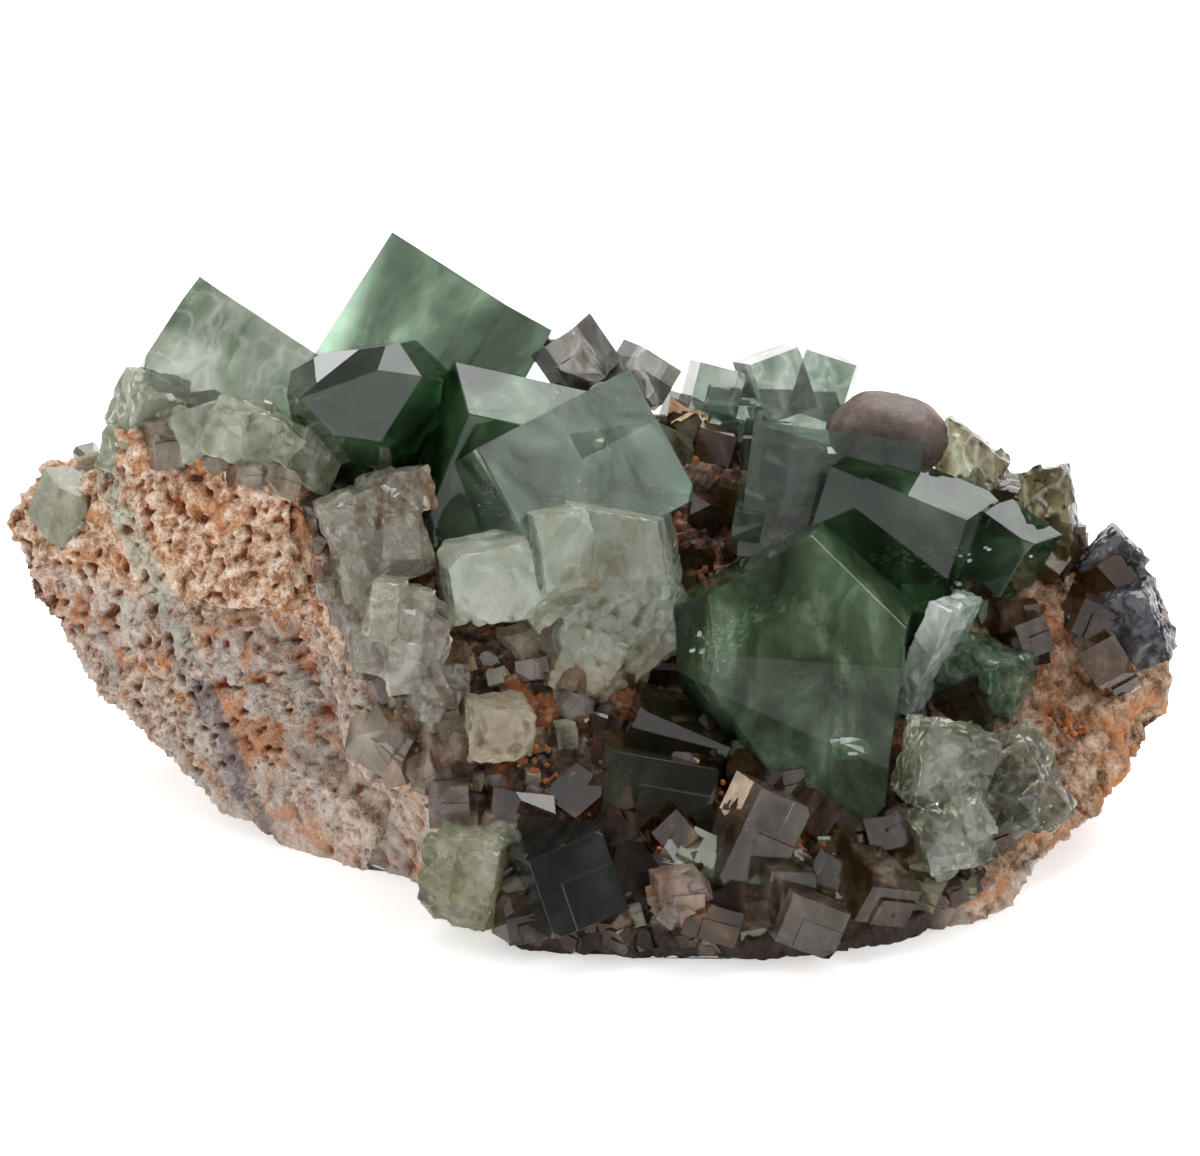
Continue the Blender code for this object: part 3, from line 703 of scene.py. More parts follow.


# the frosted centre cubes get painted shade in their pits and a painted highlight on their lumps
finish_piece(etched(FROSTED_CENTRE, "frosted_centre", 0.28, 0.32, 0.6, 33.0, 0.16),
             fluorite_material(
    "frosted_cream", ((0.36, 0.28, 0.16), (0.58, 0.58, 0.44), (0.72, 0.80, 0.66),
    (0.98, 0.99, 0.92)), clear=0.66, rough=(0.04, 0.30), cloud=150.0, speck=0.5, cracks=0.30,
    shaded_relief=True, zones=(((0.0, 0.0, -1.0), -24.5, -20.0, (0.80, 0.66, 0.46)),)),
    "pale_crystal", "cubes_centre")


# Plate-like cube right of the centre
# A dark grey-green cube seen nearly face on, so clear that the brown rock behind it shows,
# with a small bright cube at its lower left corner.
PLATE_TURN = (-22, 8, 0)
plate_cube = cut_cube("plate_cube", (23.0, 14.0, 30.5), (17.4, 11.0, 13.7), PLATE_TURN,
                      plates=((1, -1, (0.0, 0.45), (0.0, 0.6), 0.2),))
finish_piece(plate_cube, fluorite_material(
    "plate_cube_green", ((0.09, 0.13, 0.10), (0.30, 0.38, 0.31), (0.58, 0.68, 0.60)),
    GREEN_ABSORB, 22.0, PLATE_TURN, clear=0.90, rough=(0.0, 0.05), cloud=120.0, ripples=0.25,
    zones=(((0.0, 0.0, -1.0), -30.0, -29.2, (0.80, 0.98, 0.84)),)), "green_crystal", "cubes_plate")
plate_foot = cut_cube("plate_foot", (15.0, 9.0, 30.0), (3.0, 5.0, 3.0), (-12, 8, -6))
finish_piece(plate_foot, back_green, "green_crystal", "cubes_plate")


# Large dark twin
# The biggest crystal: a see-through dark green twin. Its upper face, a grey middle face and
# a nearly black lower face meet along straight edges.
LARGE_CUTS = (
    (0.05, -0.65, 0.76, 8.0), (0.02, -0.91, 0.41, 8.3), (-0.06, -0.97, 0.24, 9.2),
    (-0.85, -0.40, 0.35, 11.9), (-0.76, -0.49, -0.42, 10.2), (0.69, -0.46, -0.56, 16.3),
    (0.00, 1.00, 0.00, 12.0), (0.99, -0.15, -0.06, 10.4), (0.61, 0.04, 0.79, 11.3),
    (-0.47, 0.28, 0.84, 11.6), (-1.00, -0.02, 0.03, 12.5), (-0.06, -0.45, -0.89, 17.9),
    (0.00, 0.00, -1.00, 17.0))
large_twin = cut_cube("large_twin", (20.0, -4.0, 19.6), None, (0, 0, 0), LARGE_CUTS, wear=0.06)
finish_piece(large_twin, fluorite_material(
    "large_twin_green", ((0.022, 0.050, 0.017), (0.09, 0.155, 0.07), (0.22, 0.36, 0.19),
    (0.60, 0.80, 0.58)), (0.24, 0.46, 0.28), 7.0, (-20, 0, 5), clear=0.80,
    rough=(0.0, 0.05), cloud=150.0, ripples=0.25), "dark_crystal", "twin_large")

finish_piece(crack_flakes("large_flakes", (
    ((24.6, -14.2, 16.2), (1.0, 0.8), (76, 4, 0), 12, 1.9),
    ((14.0, -6.2, 26.0), (5.5, 1.6), (48, -12, 35), 70, 0.45),
    ((11.4, -6.4, 23.0), (1.6, 3.6), (60, -35, 10), 40, 0.4),
    ((27.0, -11.9, 12.0), (1.2, 4.0), (60, 50, 20), 30, 0.4),
    ((24.2, -13.4, 5.6), (3.0, 1.0), (70, -20, 0), 24, 0.4))), crack_white,
    "dark_crystal", "twin_large")


# Cubes right of the large twin
# A dark green cube with a light grey top face, a smaller one at its side, a broken white
# cleavage plate and a pale green fragment below them.
RIGHT_TURN = (-10, 13, -25)
right_cube = cut_cube("right_cube", (30.1, 8.0, 27.9), (15.1, 11.7, 14.1), RIGHT_TURN,
                      plates=((2, 1, (0.25, 1.0), (0.0, 0.7), 0.3),),
                      nicks=((1, 1, 1, 1.0), (-1, 1, 1, 1.2)))
finish_piece(right_cube, fluorite_material(
    "right_cube_green", DARK_GREENS, GREEN_ABSORB, 25.0, RIGHT_TURN, clear=0.86,
    rough=(0.0, 0.05), cloud=100.0, ripples=0.3), "dark_crystal", "cubes_right")
finish_piece(crack_flakes("right_flakes", (
    ((31.5, 3.6, 28.6), (7.0, 1.0), (60, -14, -25), 60, 0.45),
    ((35.0, 4.2, 26.0), (2.0, 2.6), (45, -20, -10), 30, 0.4))), crack_white,
    "dark_crystal", "cubes_right")
right_cube_small = cut_cube("right_cube_small", (41.0, 7.0, 28.0), (6.5, 8.0, 6.5),
                            (-15, 22, -35), nicks=((1, -1, 1, 0.6),))
finish_piece(right_cube_small, fluorite_material(
    "right_small_green", DARK_GREENS, GREEN_ABSORB, 60.0, (-15, 22, -35), clear=0.88,
    rough=(0.0, 0.05)), "dark_crystal", "cubes_right")
cleavage_plate = etched((((33.6, -2.0, 20.7), (2.6, 8.0, 12.0), (-13, 16, -32), ()),),
                        "cleavage_plate", 0.26, 0.25, 0.45, facets=0.12, shards=9)
finish_piece(cleavage_plate, fluorite_material(
    "cleavage_white", ((0.30, 0.42, 0.33), (0.64, 0.72, 0.65), (0.94, 0.97, 0.95)), clear=0.52,
    rough=(0.04, 0.25), cloud=260.0, speck=0.5, cracks=0.4), "pale_crystal", "cubes_right")
green_fragment = etched((((38.8, 0.0, 17.5), (9.0, 8.0, 6.0), (-12, 6, -21), ()),),
                        "green_fragment", 0.3, 0.35, 0.4, facets=0.10, shards=7)
finish_piece(green_fragment, fluorite_material(
    "fragment_green", ((0.04, 0.11, 0.05), (0.22, 0.40, 0.22), (0.62, 0.80, 0.58)), clear=0.8,
    rough=(0.02, 0.2), cloud=230.0, speck=0.6, cracks=0.4), "pale_crystal", "cubes_right")


# Brown nodule
# A smooth brown stone with a faint dusty bloom. The crystals at the back edge hold it
# between them.
NODULE_RADII = (6.2, 5.0, 4.4)
NODULE_PLACE = (29.5, 21.3, 34.1)
NODULE_TURN = (-20, 8, 0)
bpy.ops.object.select_all(action="DESELECT")
bpy.ops.mesh.primitive_uv_sphere_add(segments=48, ring_count=32, radius=1.0)
nodule = bpy.context.object
nodule.name = "brown_nodule"
nodule.scale = Vector(NODULE_RADII) * MM
nodule.rotation_euler = [math.radians(angle) for angle in NODULE_TURN]
nodule.location = Vector(NODULE_PLACE) * MM
bpy.ops.object.transform_apply(location=True, rotation=True, scale=True)
push_out(nodule, lambda place: noise.noise(place * 0.22) * 0.5,
         lambda place: noise.noise(place * 0.9) * 0.12)
bpy.ops.object.shade_smooth()


def nodule_material():
    """Mottled brown stone with dust on it."""
    mat, tree, shader, coords = blank_material("nodule_brown")
    mottle = noise_of(tree, coords, 240, 8, 0.65)
    dust = noise_of(tree, coords, 900, 4, 0.6)
    colour = ramp_of(tree, mottle, "Fac", (
        (0.32, (0.045, 0.028, 0.020)), (0.52, (0.105, 0.070, 0.052)), (0.72, (0.20, 0.145, 0.115))))
    bloom = ramp_of(tree, dust, "Fac", ((0.5, grey(0.0)), (0.75, grey(0.3))))
    colour = mix_colours(tree, bloom, colour, (0.36, 0.30, 0.27))
    tree.links.new(colour, shader.inputs["Base Color"])
    rough = ramp_of(tree, dust, "Fac", ((0.3, grey(0.40)), (0.7, grey(0.62))))
    tree.links.new(rough, shader.inputs["Roughness"])
    relief = bump_of(tree, mottle.outputs["Fac"], 0.6, 0.4)
    tree.links.new(bump_of(tree, dust.outputs["Fac"], 0.3, 0.1, relief), shader.inputs["Normal"])
    return mat


finish_piece(nodule, nodule_material(), "nodule", "nodule")


# Row of small cubes along the back edge
# Pale, partly cloudy cubes that close the specimen's skyline, lilac-grey on the left and
# yellower to the right, where they are broken and stained.
BACK_LEFT = (
    ((-2.4, 30.0, 39.1), (5.5, 6.0, 6.0), (-5, -38, -16)),
    ((4.2, 30.0, 37.1), (5.0, 6.0, 5.0), (-17, 37, 10)),
    ((1.0, 29.0, 35.0), (6.0, 7.0, 5.0), (-10, 5, 12)),
)
BACK_MIDDLE = (
    ((18.2, 30.0, 36.2), (5.5, 7.0, 6.5), (-20, -13, 20)),
    ((23.5, 29.0, 36.5), (5.5, 7.0, 6.5), (-19, 13, -15)),
    ((11.7, 31.0, 35.1), (5.0, 6.0, 5.0), (-21, 17, 4)),
    ((18.0, 29.0, 33.0), (14.0, 6.0, 4.0), (-4, 3, 2)),
)
BACK_RIGHT = (
    ((37.7, 22.0, 31.3), (8.0, 6.0, 5.0), (-26, 32, -21)),
    ((46.5, 18.0, 27.1), (4.5, 6.0, 9.0), (-20, -16, -10)),
    ((42.0, 20.0, 27.0), (8.0, 6.0, 5.0), (-5, 12, -12)),
)


def crystal_row(name, crystals, material, slot, *replaced):
    """Cubes of one group, each with a growth plate and two nicked corners."""
    made = []
    for index, (centre, size, turn) in enumerate(crystals):
        side = -1 if index % 2 else 1
        made.append(cut_cube(name, centre, size, turn,
                             plates=((1, -1, (0.0, 0.6), (0.3, 1.0), 0.15),),
                             nicks=((side, -1, 1, 0.35), (-side, -1, -1, 0.5)), wear=0.08))
    return finish_piece(join(made, name), material, slot, *replaced)


lilac_grey = fluorite_material(
    "lilac_grey", ((0.16, 0.14, 0.115), (0.30, 0.29, 0.26), (0.46, 0.48, 0.43)),
    clear=0.72, rough=(0.04, 0.2), cloud=190.0, speck=0.3, cracks=0.25)
back_pale = fluorite_material(
    "back_pale_green", ((0.12, 0.19, 0.13), (0.28, 0.34, 0.28), (0.54, 0.60, 0.53)),
    clear=0.70, rough=(0.05, 0.25), cloud=170.0, speck=0.4, cracks=0.3)
back_yellow = fluorite_material(
    "back_yellow", ((0.035, 0.025, 0.010), (0.12, 0.09, 0.04), (0.26, 0.24, 0.14),
    (0.56, 0.60, 0.45)), clear=0.66, rough=(0.04, 0.22), cloud=230.0, speck=0.5, cracks=0.35)
crystal_row("back_left_row", BACK_LEFT, lilac_grey, "pale_crystal", "cubes_back_left")
crystal_row("back_middle_row", BACK_MIDDLE, back_pale, "pale_crystal", "cubes_back_middle")
back_right = etched([(*cube, ()) for cube in BACK_RIGHT], "back_right_row", 0.26, 0.18, 0.6,
                    facets=0.10, shards=4)
finish_piece(back_right, back_yellow, "pale_crystal", "cubes_back_right")


# Dark cubes on the right end
# Almost black-grey cubes with pale tan veins, at the top of the right-hand break. They are
# etched all over, so they hardly let light through.
RIGHT_EDGE = (
    ((53.0, 8.0, 18.5), (9.0, 9.0, 8.0), (-11, -24, -5)),
    ((52.3, 14.0, 23.1), (5.0, 6.0, 6.0), (-23, 43, -16)),
)
# this material paints shade into the pits and a highlight onto the lumps of the etched cubes
edge_smoky = fluorite_material(
    "edge_smoky", ((0.012, 0.012, 0.018), (0.040, 0.038, 0.050), (0.11, 0.105, 0.12),
    (0.46, 0.36, 0.26)), clear=0.25, rough=(0.12, 0.45), cloud=170.0, speck=0.2, shaded_relief=True)
right_edge = etched([(*cube, (), ((1, -1, 1, 0.9), (-1, -1, 1, 0.6), (1, 1, 1, 0.8)))
                     for cube in RIGHT_EDGE], "right_edge_cubes", 0.3, 0.30, 0.6)
finish_piece(right_edge, edge_smoky, "smoky_crystal", "cubes_right_edge")


# Frosted cubes at the right front
# Pale grey-green cubes crossed by many cracks, so they look almost white. Their faces have
# split into small flat steps.
FROSTED_RIGHT = (
    ((34.0, -16.0, 15.0), (7.5, 8.0, 8.0), (-13, 16, 11), ()),
    ((40.5, -12.0, 11.6), (8.0, 8.0, 7.5), (-11, -29, -4), ()),
    ((34.6, -20.0, 9.4), (7.0, 7.0, 6.0), (-20, -10, 14), ()),
)
finish_piece(etched(FROSTED_RIGHT, "frosted_right", 0.28, 0.30, 0.45, facets=0.12, shards=10),
             fluorite_material(
    "frosted_grey_green", ((0.09, 0.085, 0.045), (0.26, 0.26, 0.175), (0.48, 0.49, 0.37),
    (0.82, 0.84, 0.73)), clear=0.76, rough=(0.03, 0.22), cloud=190.0, speck=0.6, cracks=0.45),
    "pale_crystal", "cubes_frosted")


# Cubes along the front foot
# Smaller, browner cubes at the front edge: a pale and a dark one on the left, two dark green
# ones behind them, and smoky clear ones on the right.
front_pale = fluorite_material(
    "front_pale", ((0.16, 0.18, 0.09), (0.44, 0.46, 0.28), (0.78, 0.78, 0.60)),
    clear=0.72, rough=(0.05, 0.3), cloud=150.0, speck=0.4, cracks=0.4)
front_dark = fluorite_material(
    "front_dark", ((0.010, 0.013, 0.012), (0.028, 0.033, 0.031), (0.07, 0.08, 0.075)),
    clear=0.7, rough=(0.03, 0.14), cloud=90.0, ripples=0.3)
front_green = fluorite_material(
    "front_green", ((0.030, 0.022, 0.008), (0.075, 0.070, 0.030), (0.17, 0.22, 0.13)),
    clear=0.85, rough=(0.0, 0.08), cloud=110.0, ripples=0.3)
smoky = fluorite_material(
    "smoky_brown", ((0.10, 0.058, 0.028), (0.30, 0.215, 0.14), (0.68, 0.61, 0.49)),
    clear=0.88, rough=(0.0, 0.08), cloud=190.0, speck=0.3, cracks=0.2, ripples=0.4)
front_pale_lump = etched((
    ((-12.2, -22.0, 6.3), (7.5, 9.0, 9.0), (-15, 5, -24), (),
     ((-1, -1, 1, 1.6), (1, -1, 1, 0.8), (-1, -1, -1, 1.2))),), "front_pale_lump", 0.26, 0.28,
    0.5, facets=0.14, shards=7)
finish_piece(front_pale_lump, front_pale, "pale_crystal", "cubes_front_left")
crystal_row("front_dark_cube", (((-3.4, -26.0, 7.8), (8.0, 8.0, 8.5), (-16, -13, 24)),),
            front_dark, "pale_crystal", "cubes_front_left")
FRONT_MIDDLE = (
    ((5.1, -14.0, 11.8), (11.0, 9.0, 7.0), (-15, 14, 6)),
    ((7.2, -10.0, 14.8), (10.0, 8.0, 6.0), (-6, 25, -2)),
)
FRONT_RIGHT = (
    ((14.9, -22.0, 10.1), (6.0, 7.0, 10.5), (-13, 30, 13)),
    ((20.2, -29.0, 4.6), (6.0, 5.0, 5.0), (-14, 24, 4)),
    ((17.5, -25.5, 6.5), (5.0, 6.0, 5.0), (-8, 12, 20)),
)
crystal_row("front_middle_cubes", FRONT_MIDDLE, front_green, "dark_crystal", "cubes_front_middle")
crystal_row("front_right_cubes", FRONT_RIGHT, smoky, "smoky_crystal", "cubes_front_right")


# Carpet of small crystals
# Hundreds of small fluorite cubes cover the rock between the large ones: smoky brown,
# milky, lilac-grey and rose. They are copies of five worked cubes, sunk into the rock.
CARPET_EDGE = (
    (-56, 20), (-44, 11), (-29, 0), (-10, -24), (8, -28), (24, -27), (38, -18), (55, 4),
    (53, 20), (38, 28), (0, 32), (-35, 32), (-53, 27),
)
ROCK_CUBES = (
    ((7.4, -28.0, 7.2), (4.5, 5.0, 4.2), (-12, 0, 12), "cloudy"),
    ((10.5, -29.0, 4.8), (5.5, 4.5, 3.5), (-13, 19, 6), "smoky"),
    ((43.3, 2.0, 21.0), (3.2, 5.0, 3.5), (-10, -17, 13), "smoky"),
    ((-15.0, -14.0, 15.0), (5.0, 5.0, 5.0), (20, 10, 30), "cloudy"),
    ((-8.0, -19.0, 11.0), (6.0, 6.0, 5.0), (-20, 12, 8), "smoky"),
    ((-2.0, -17.0, 11.0), (5.0, 5.0, 5.0), (12, -22, 40), "smoky"),
    ((-21.0, -11.0, 15.5), (5.5, 6.0, 5.0), (-8, 24, -20), "cloudy"),
    ((27.0, -24.0, 6.0), (6.0, 6.0, 5.0), (15, 20, 30), "smoky"),
    ((3.0, -24.0, 8.0), (5.0, 5.0, 5.0), (-25, 15, 10), "smoky"),
    ((-54.0, 17.0, 28.0), (6.0, 6.0, 6.0), (18, 12, 35), "milky"),
)
FILLER_SIZES = (2.6, 5.4)
FILLER_COUNT = 84
SPRINKLE_SIZES = (1.3, 4.2)
SPRINKLE_COUNT = 700
CARPET_X = (-56.0, 56.0)
CARPET_Y = (-29.0, 34.0)
BARE_END_X, BARE_END_Y = 44.0, 13.0
ABOVE_ALL = 90.0
MOST_TRIES = 2000
rng = random.Random(11)


def inside_carpet(x, y):
    """True where a place, seen from above, lies inside the edge of the carpet."""
    inside = False
    for (x1, y1), (x2, y2) in zip(CARPET_EDGE, CARPET_EDGE[1:] + CARPET_EDGE[:1]):
        if (y1 > y) != (y2 > y) and x < (x2 - x1) * (y - y1) / (y2 - y1) + x1:
            inside = not inside
    return inside


ROCK_FACES = BVHTree.FromPolygons([vert.co for vert in rock.data.vertices],
                                  [face.vertices[:] for face in rock.data.polygons])


def rock_below(x, y):
    """The highest point of the rock there, or None beside it."""
    point = ROCK_FACES.ray_cast(Vector((x, y, ABOVE_ALL)) * MM, Vector((0, 0, -1)))[0]
    return point and point / MM


def kind_at(x, y):
    """Which kind of crystal grows there: a cloudy mass on the left, smoky cubes in front."""
    choice = rng.random()
    if x < -2 and y < 14:
        return "cloudy"
    if x < -28:
        return "milky"
    if y > 4:
        pale = 0.05 if x < 22 and y < 22 else 0.35
        return "milky" if choice < pale else "amber" if choice < 0.7 else "smoky"
    return "smoky" if choice < 0.72 else "milky" if choice < 0.84 else "amber"


fillers = [(Vector(c), size, turn, kind) for c, size, turn, kind in ROCK_CUBES]
tries = 0
while len(fillers) < FILLER_COUNT and tries < MOST_TRIES:
    tries += 1
    x = rng.uniform(*CARPET_X)
    y = rng.uniform(*CARPET_Y)
    size = rng.uniform(*FILLER_SIZES)
    turn = (rng.uniform(-40, 40), rng.uniform(-40, 40), rng.uniform(0, 90))
    spread = [math.hypot(c[0].x - x, c[0].y - y) / (size + c[1][0]) for c in fillers]
    ground = rock_below(x, y)
    if ground is None or not inside_carpet(x, y) or min(spread) < 0.6:
        continue
    middle = ground + Vector((0.0, -0.04, 0.12)) * size
    fillers.append((middle, (size, size * 1.05, size * 0.95), turn, None))
fillers = [(c, size, turn, kind or kind_at(c.x, c.y)) for c, size, turn, kind in fillers]
# the large cloudy ones are shattered: shards stand proud of their faces
SHARDS_EACH = 9
for middle, size, turn, kind in fillers[:len(ROCK_CUBES)]:
    for shard in range(SHARDS_EACH if kind == "cloudy" else 0):
        spot = Vector([rng.uniform(-0.42, 0.42) * length for length in size])
        spot.y -= 0.1 * size[1]
        length = rng.uniform(0.30, 0.55) * size[0]
        fillers.append((middle + spot, (length, length, length * rng.uniform(0.8, 1.6)),
                        (rng.uniform(-40, 20), rng.uniform(-35, 35), rng.uniform(-40, 40)), kind))
BEFORE_SPRINKLE = len(fillers)
while len(fillers) < BEFORE_SPRINKLE + SPRINKLE_COUNT:
    x = rng.uniform(*CARPET_X)
    y = rng.uniform(*CARPET_Y)
    ground = rock_below(x, y)
    if ground is None or not inside_carpet(x, y) or (x > BARE_END_X and y < BARE_END_Y):
        continue
    size = SPRINKLE_SIZES[0] + (SPRINKLE_SIZES[1] - SPRINKLE_SIZES[0]) * rng.random() ** 2
    lean = Vector((x, y, 0.0)) * 0.07
    turn = (-15 + 30 * noise.noise(lean) + rng.uniform(-16, 16),
            40 * noise.noise(lean + Vector((7, 0, 0))) + rng.uniform(-16, 16),
            50 * noise.noise(lean + Vector((0, 7, 0))) + rng.uniform(-16, 16))
    middle = ground + Vector((0.0, -0.04, 0.02)) * size
    fillers.append((middle, (size, size * rng.uniform(0.8, 1.3), size * rng.uniform(0.8, 1.2)),
                    turn, kind_at(x, y)))

# more of them hang over the rim in front, down to the foot
RIM_COUNT = 120
RIM_X = (-9.0, 37.0)
RIM_TOP = 7.5
BEFORE_ALL = -60.0
while len(fillers) < BEFORE_SPRINKLE + SPRINKLE_COUNT + RIM_COUNT:
    x, size = rng.uniform(*RIM_X), rng.uniform(1.8, 4.6)
    z = rng.uniform(0.9 * size, RIM_TOP)
    point = ROCK_FACES.ray_cast(Vector((x, BEFORE_ALL, z)) * MM, Vector((0, 1, 0)))[0]
    if point:
        middle = point / MM + Vector((0.0, 0.12, 0.0)) * size
        turn = [rng.uniform(-28, 28) for axis in range(3)]
        fillers.append((middle, (size, size * rng.uniform(0.8, 1.2), size), turn,
                        "smoky" if rng.random() < 0.85 else "milky"))

# worked and broken cubes, one millimetre on an edge, that every small crystal is copied from
SEED_NICKS = (
    ((1, -1, 1, 0.16), (-1, -1, -1, 0.3)),
    ((-1, -1, 1, 0.32), (1, 1, 1, 0.2)),
    ((0, -1, 1, 0.10), (1, 0.3, 0.6, 0.28)),
    ((1, -0.4, 1, 0.34), (-1, 0, 1, 0.12)),
    ((-1, -1, 0.2, 0.30), (0.3, -1, 1, 0.22), (1, 1, 1, 0.3)),
)
seeds = [
    cut_cube("seed", (0, 0, 0), (1, 1, 1), (0, 0, 0), nicks=nicks, wear=0.025,
             plates=((1, -1, (0.0, 0.6), (0.3, 1.0), 0.05),))
    for nicks in SEED_NICKS
]
carpet = {"cloudy": [], "milky": [], "smoky": [], "amber": []}
for index, (centre, size, turn, kind) in enumerate(fillers):
    # none of them reaches below the foot
    centre.z = max(centre.z, 0.9 * max(size))
    placing = Matrix.Translation(centre * MM) @ turned_by(turn).to_4x4()
    crystal = copy_of(seeds[index % len(seeds)], placing @ Matrix.Diagonal((*size, 1.0)))
    tint = crystal.data.attributes.new("tint", "FLOAT", "POINT")
    tint.data.foreach_set("value", [rng.random()] * len(crystal.data.vertices))
    carpet[kind].append(crystal)
for seed in seeds:
    bpy.data.objects.remove(seed)

CARPET_LOOKS = {
    "cloudy": ((0.20, 0.12, 0.07), (0.38, 0.33, 0.28), (0.58, 0.52, 0.45), (0.90, 0.84, 0.74)),
    "milky": ((0.20, 0.19, 0.12), (0.40, 0.43, 0.32), (0.56, 0.60, 0.48), (0.84, 0.86, 0.76)),
    "smoky": ((0.050, 0.022, 0.008), (0.17, 0.095, 0.048), (0.38, 0.27, 0.175),
              (0.76, 0.68, 0.54)),
    "amber": ((0.050, 0.018, 0.005), (0.18, 0.085, 0.028), (0.46, 0.34, 0.22)),
}
CARPET_TINTS = {
    "cloudy": ((0.80, 0.78, 0.82), (1.0, 0.94, 0.84), (0.60, 0.54, 0.54), (1.0, 0.80, 0.68),
               (0.86, 0.90, 0.78), (0.84, 0.62, 0.44), (1.0, 0.97, 0.90)),
    "milky": ((1.0, 1.0, 0.92), (0.78, 0.88, 0.76), (1.0, 0.88, 0.74), (0.62, 0.60, 0.52)),
    "smoky": ((0.62, 0.55, 0.50), (1.0, 0.92, 0.84), (0.34, 0.28, 0.24), (1.0, 1.0, 1.0),
              (0.72, 0.80, 0.66), (0.90, 0.62, 0.42)),
    "amber": ((1.0, 0.9, 0.8), (0.55, 0.5, 0.45), (0.9, 1.0, 0.8)),
}
CARPET_CLEAR = {"cloudy": 0.60, "milky": 0.66, "smoky": 0.88, "amber": 0.74}
CARPET_ROUGH = {
    "cloudy": (0.05, 0.35), "milky": (0.04, 0.30), "smoky": (0.03, 0.16), "amber": (0.03, 0.2)}
for kind, tones in CARPET_LOOKS.items():
    finish_piece(join(carpet[kind], "carpet_" + kind), fluorite_material(
        "carpet_" + kind, tones, clear=CARPET_CLEAR[kind], rough=CARPET_ROUGH[kind],
        cloud=210.0, tints=CARPET_TINTS[kind]), "rock", "matrix")

# the largest of the cloudy crystals, shattered and grown through each other
CLOUDY_MASS = (
    ((-22.3, -1.0, 33.1), (9.0, 9.0, 10.0), (-20, -15, 16), (),
     ((1, -1, 1, 2.0), (-1, -1, 1, 1.4), (0, -1, -1, 1.6))),
    ((-19.8, -8.0, 24.9), (8.0, 8.0, 7.0), (-16, 17, 1), (),
     ((1, -1, -1, 1.6), (-1, -1, 0.4, 1.5))),
    ((-16.5, -9.5, 19.5), (5.5, 6.0, 5.5), (-30, 12, 24), ()),
    ((-24.5, -3.5, 27.0), (5.0, 5.0, 6.0), (-18, -30, 10), ()),
)
finish_piece(etched(CLOUDY_MASS, "cloudy_mass", 0.28, 0.25, 0.5, facets=0.11, shards=12),
             fluorite_material(
    "cloudy_grey", ((0.28, 0.18, 0.10), (0.52, 0.47, 0.39), (0.66, 0.65, 0.53),
    (0.98, 0.95, 0.84)), clear=0.70, rough=(0.03, 0.22), cloud=230.0, speck=0.5, cracks=0.3),
    "rock", "matrix")

# the pale green fragments that cling to the foot of the left cube
LEFT_FRAGMENTS = (
    ((-35.5, 8.5, 39.8), (7.5, 5.5, 6.0), (-22, 18, -14), ()),
    ((-30.0, 7.5, 37.6), (6.5, 5.5, 5.5), (-25, 32, 12), ()),
    ((-45.5, 15.0, 39.5), (6.5, 6.0, 6.5), (10, 20, 25), ()),
    ((-40.5, 10.8, 39.0), (5.5, 5.0, 5.0), (-28, -12, 20), ()),
    ((-48.2, 14.5, 36.0), (4.0, 5.0, 5.0), (-8, 12, -20), ()),
)
finish_piece(etched(LEFT_FRAGMENTS, "left_fragments", 0.26, 0.22, 0.5, facets=0.12, shards=9),
             fluorite_material(
    "fragment_pale", ((0.34, 0.36, 0.22), (0.62, 0.67, 0.50), (0.96, 0.98, 0.86)), clear=0.64,
    rough=(0.02, 0.18), cloud=260.0, speck=0.5, cracks=0.25), "rock", "matrix")


# Iron crust
# Crumbs of orange iron oxide that weathering left in the gaps between the crystals. Each
# patch is a heap of small flat crumbs, run together.
CRUST_SPOTS = (
    (-21.5, -9.5), (-20.5, -13.0), (-18.0, -16.5), (-10.5, -11.5), (-6.5, -14.5), (-1.5, -21.5),
    (6.5, -25.0), (9.5, -26.5), (12.5, -23.5), (13.0, -17.0), (2.0, -17.0), (30.0, -22.0),
    (43.5, -9.0), (47.0, -3.5), (10.0, 8.0), (-24.0, 3.0), (-5.0, -23.5), (16.5, -26.0),
    (24.0, -25.0), (21.0, -20.5), (-14.0, -17.5), (-17.5, -12.5),
)
CRUMBS_EACH = 36
CRUST_VOXEL = 0.17
bpy.ops.object.select_all(action="DESELECT")
bpy.ops.mesh.primitive_ico_sphere_add(subdivisions=1, radius=MM)
crumb_seed = bpy.context.object
for vert in crumb_seed.data.vertices:
    vert.co *= 1.0 + 0.35 * noise.noise(vert.co / MM * 2.0)
crumbs = []
for spot in CRUST_SPOTS:
    for crumb_index in range(CRUMBS_EACH):
        x, y = rng.gauss(spot[0], 1.0), rng.gauss(spot[1], 1.0)
        size = rng.uniform(0.18, 0.52)
        ground = rock_below(x, y)
        if ground is None:
            continue
        middle = ground + Vector((0, 0, rng.uniform(0.2, 1.6)))
        turned = Euler([rng.uniform(0, 3) for axis in range(3)]).to_matrix().to_4x4()
        flat = Matrix.Diagonal((size, size * rng.uniform(0.6, 1.0), size * rng.uniform(0.5, 1.0), 1))
        crumbs.append(copy_of(crumb_seed, Matrix.Translation(middle * MM) @ turned @ flat))
bpy.data.objects.remove(crumb_seed)
iron_crust = join(crumbs, "iron_crust")
apply_modifier(iron_crust, "run_together", "REMESH", mode="VOXEL", voxel_size=CRUST_VOXEL * MM)


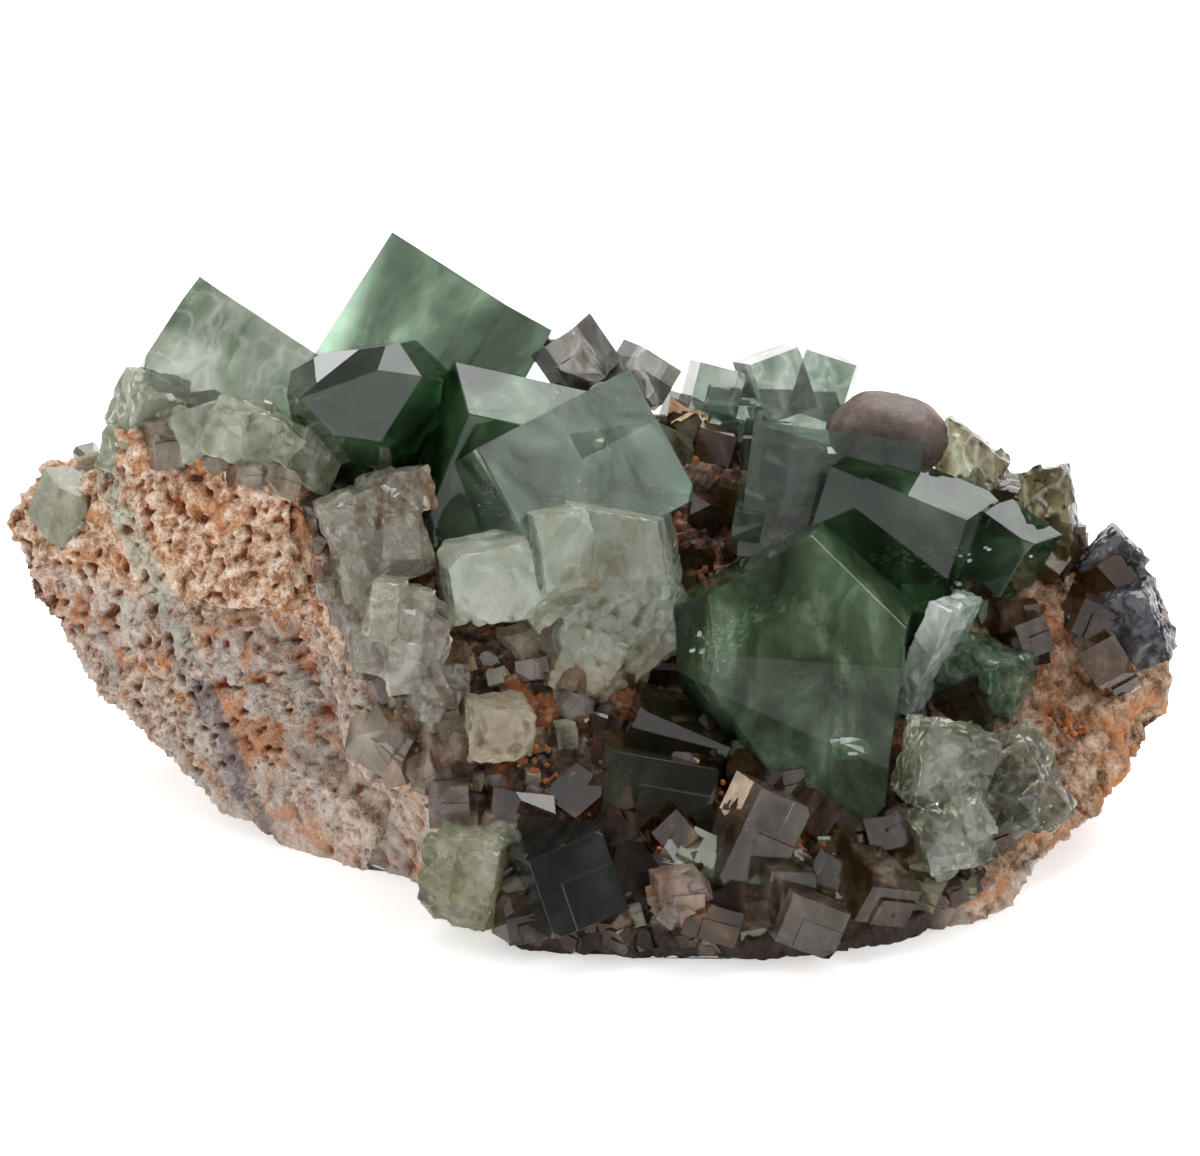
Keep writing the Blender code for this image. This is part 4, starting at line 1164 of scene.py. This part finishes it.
def crust_material():
    """Dull orange iron oxide."""
    mat, tree, shader, coords = blank_material("iron_orange")
    shade = noise_of(tree, coords, 520, 6, 0.7)
    colour = ramp_of(tree, shade, "Fac", (
        (0.35, (0.10, 0.028, 0.008)), (0.52, (0.36, 0.115, 0.028)), (0.68, (0.58, 0.27, 0.10))))
    tree.links.new(colour, shader.inputs["Base Color"])
    rough = ramp_of(tree, shade, "Fac", ((0.3, grey(0.75)), (0.7, grey(0.95))))
    tree.links.new(rough, shader.inputs["Roughness"])
    tree.links.new(bump_of(tree, shade.outputs["Fac"], 0.9, 0.3), shader.inputs["Normal"])
    return mat


finish_piece(iron_crust, crust_material(), "rock", "matrix")
finish_piece(rock, ROCK_MATERIAL, "rock", "matrix")


# Floor, light and camera
# A white table under soft light from behind and above, with the room dark on the camera's
# side, so that the top faces shine light grey and the crystals keep their depth.
FLOOR_SIZE = 6.0
TABLE_WHITE = 0.92
TABLE_GLOW = 0.45
ROOM_LIGHT = 0.30
# heading from the back towards the right, height, half-width and soft edge, strength
GLOW_PANELS = (
    (30, 56, 18, 6, 6.0), (117, 37, 14, 8, 2.1), (0, 8, 22, 25, 1.4), (180, 27, 8, 10, 0.8),
    (170, 7, 6, 3, 2.4), (-115, 35, 16, 14, 1.6), (-60, 70, 12, 14, 1.5),
)
bpy.ops.object.select_all(action="DESELECT")
bpy.ops.mesh.primitive_plane_add(size=FLOOR_SIZE, location=(0, 0, 0))
floor = bpy.context.object
floor.name = "floor"
floor_mat, floor_tree, floor_shader, floor_coords = blank_material("white_table")
floor_shader.inputs["Base Color"].default_value = (*grey(TABLE_WHITE), 1.0)
floor_shader.inputs["Roughness"].default_value = 0.9
floor_shader.inputs["Specular IOR Level"].default_value = 0.1
floor_shader.inputs["Emission Color"].default_value = (1.0, 1.0, 1.0, 1.0)
floor_shader.inputs["Emission Strength"].default_value = TABLE_GLOW
floor.data.materials.append(floor_mat)

world = bpy.data.worlds.new("studio")
bpy.context.scene.world = world
world.use_nodes = True
sky = world.node_tree
sky_coords = shader_node(sky, "ShaderNodeTexCoord")


def glow(heading, lift, reach, soft, strength, before):
    """Adds a soft panel of light to the sky: compass heading from the back towards the
    right, height above the horizon, half-width and soft edge, all in degrees."""
    flat = math.cos(math.radians(lift))
    towards = (math.sin(math.radians(heading)) * flat, math.cos(math.radians(heading)) * flat,
               math.sin(math.radians(lift)))
    facing = shader_node(sky, "ShaderNodeVectorMath", operation="DOT_PRODUCT")
    facing.inputs[1].default_value = towards
    wire(sky, sky_coords, "Generated", facing, 0)
    panel = shader_node(sky, "ShaderNodeMapRange", {
        "From Min": math.cos(math.radians(reach + soft)), "From Max": math.cos(math.radians(reach)),
        "To Max": strength}, interpolation_type="SMOOTHSTEP")
    wire(sky, facing, "Value", panel, "Value")
    total = shader_node(sky, "ShaderNodeMath", operation="ADD")
    wire(sky, panel, "Result", total, 0)
    if before is None:
        total.inputs[1].default_value = ROOM_LIGHT
    else:
        sky.links.new(before, total.inputs[1])
    return total.outputs["Value"]


light = None
for panel in GLOW_PANELS:
    light = glow(*panel, light)
sky.links.new(light, sky.nodes["Background"].inputs["Strength"])
sky.nodes["Background"].inputs["Color"].default_value = (1.0, 1.0, 1.0, 1.0)


CAMERA_TARGET = Vector((0.0, 0.0, 0.0279)) + TO_FRAME
CAMERA_LIFT = math.radians(25.0)
CAMERA_AWAY = 0.6
CAMERA_LENS = 180.0
CAMERA_SENSOR = 36.0
camera = bpy.data.objects.new("camera", bpy.data.cameras.new("camera"))
bpy.context.scene.collection.objects.link(camera)
camera.data.lens = CAMERA_LENS
camera.data.sensor_width = CAMERA_SENSOR
camera.data.clip_start = 0.01
towards = Vector((0.0, -math.cos(CAMERA_LIFT), math.sin(CAMERA_LIFT)))
camera.location = CAMERA_TARGET + towards * CAMERA_AWAY
camera.rotation_euler = (-towards).to_track_quat("-Z", "Y").to_euler()
bpy.context.scene.camera = camera
bpy.context.scene.view_settings.view_transform = "Standard"
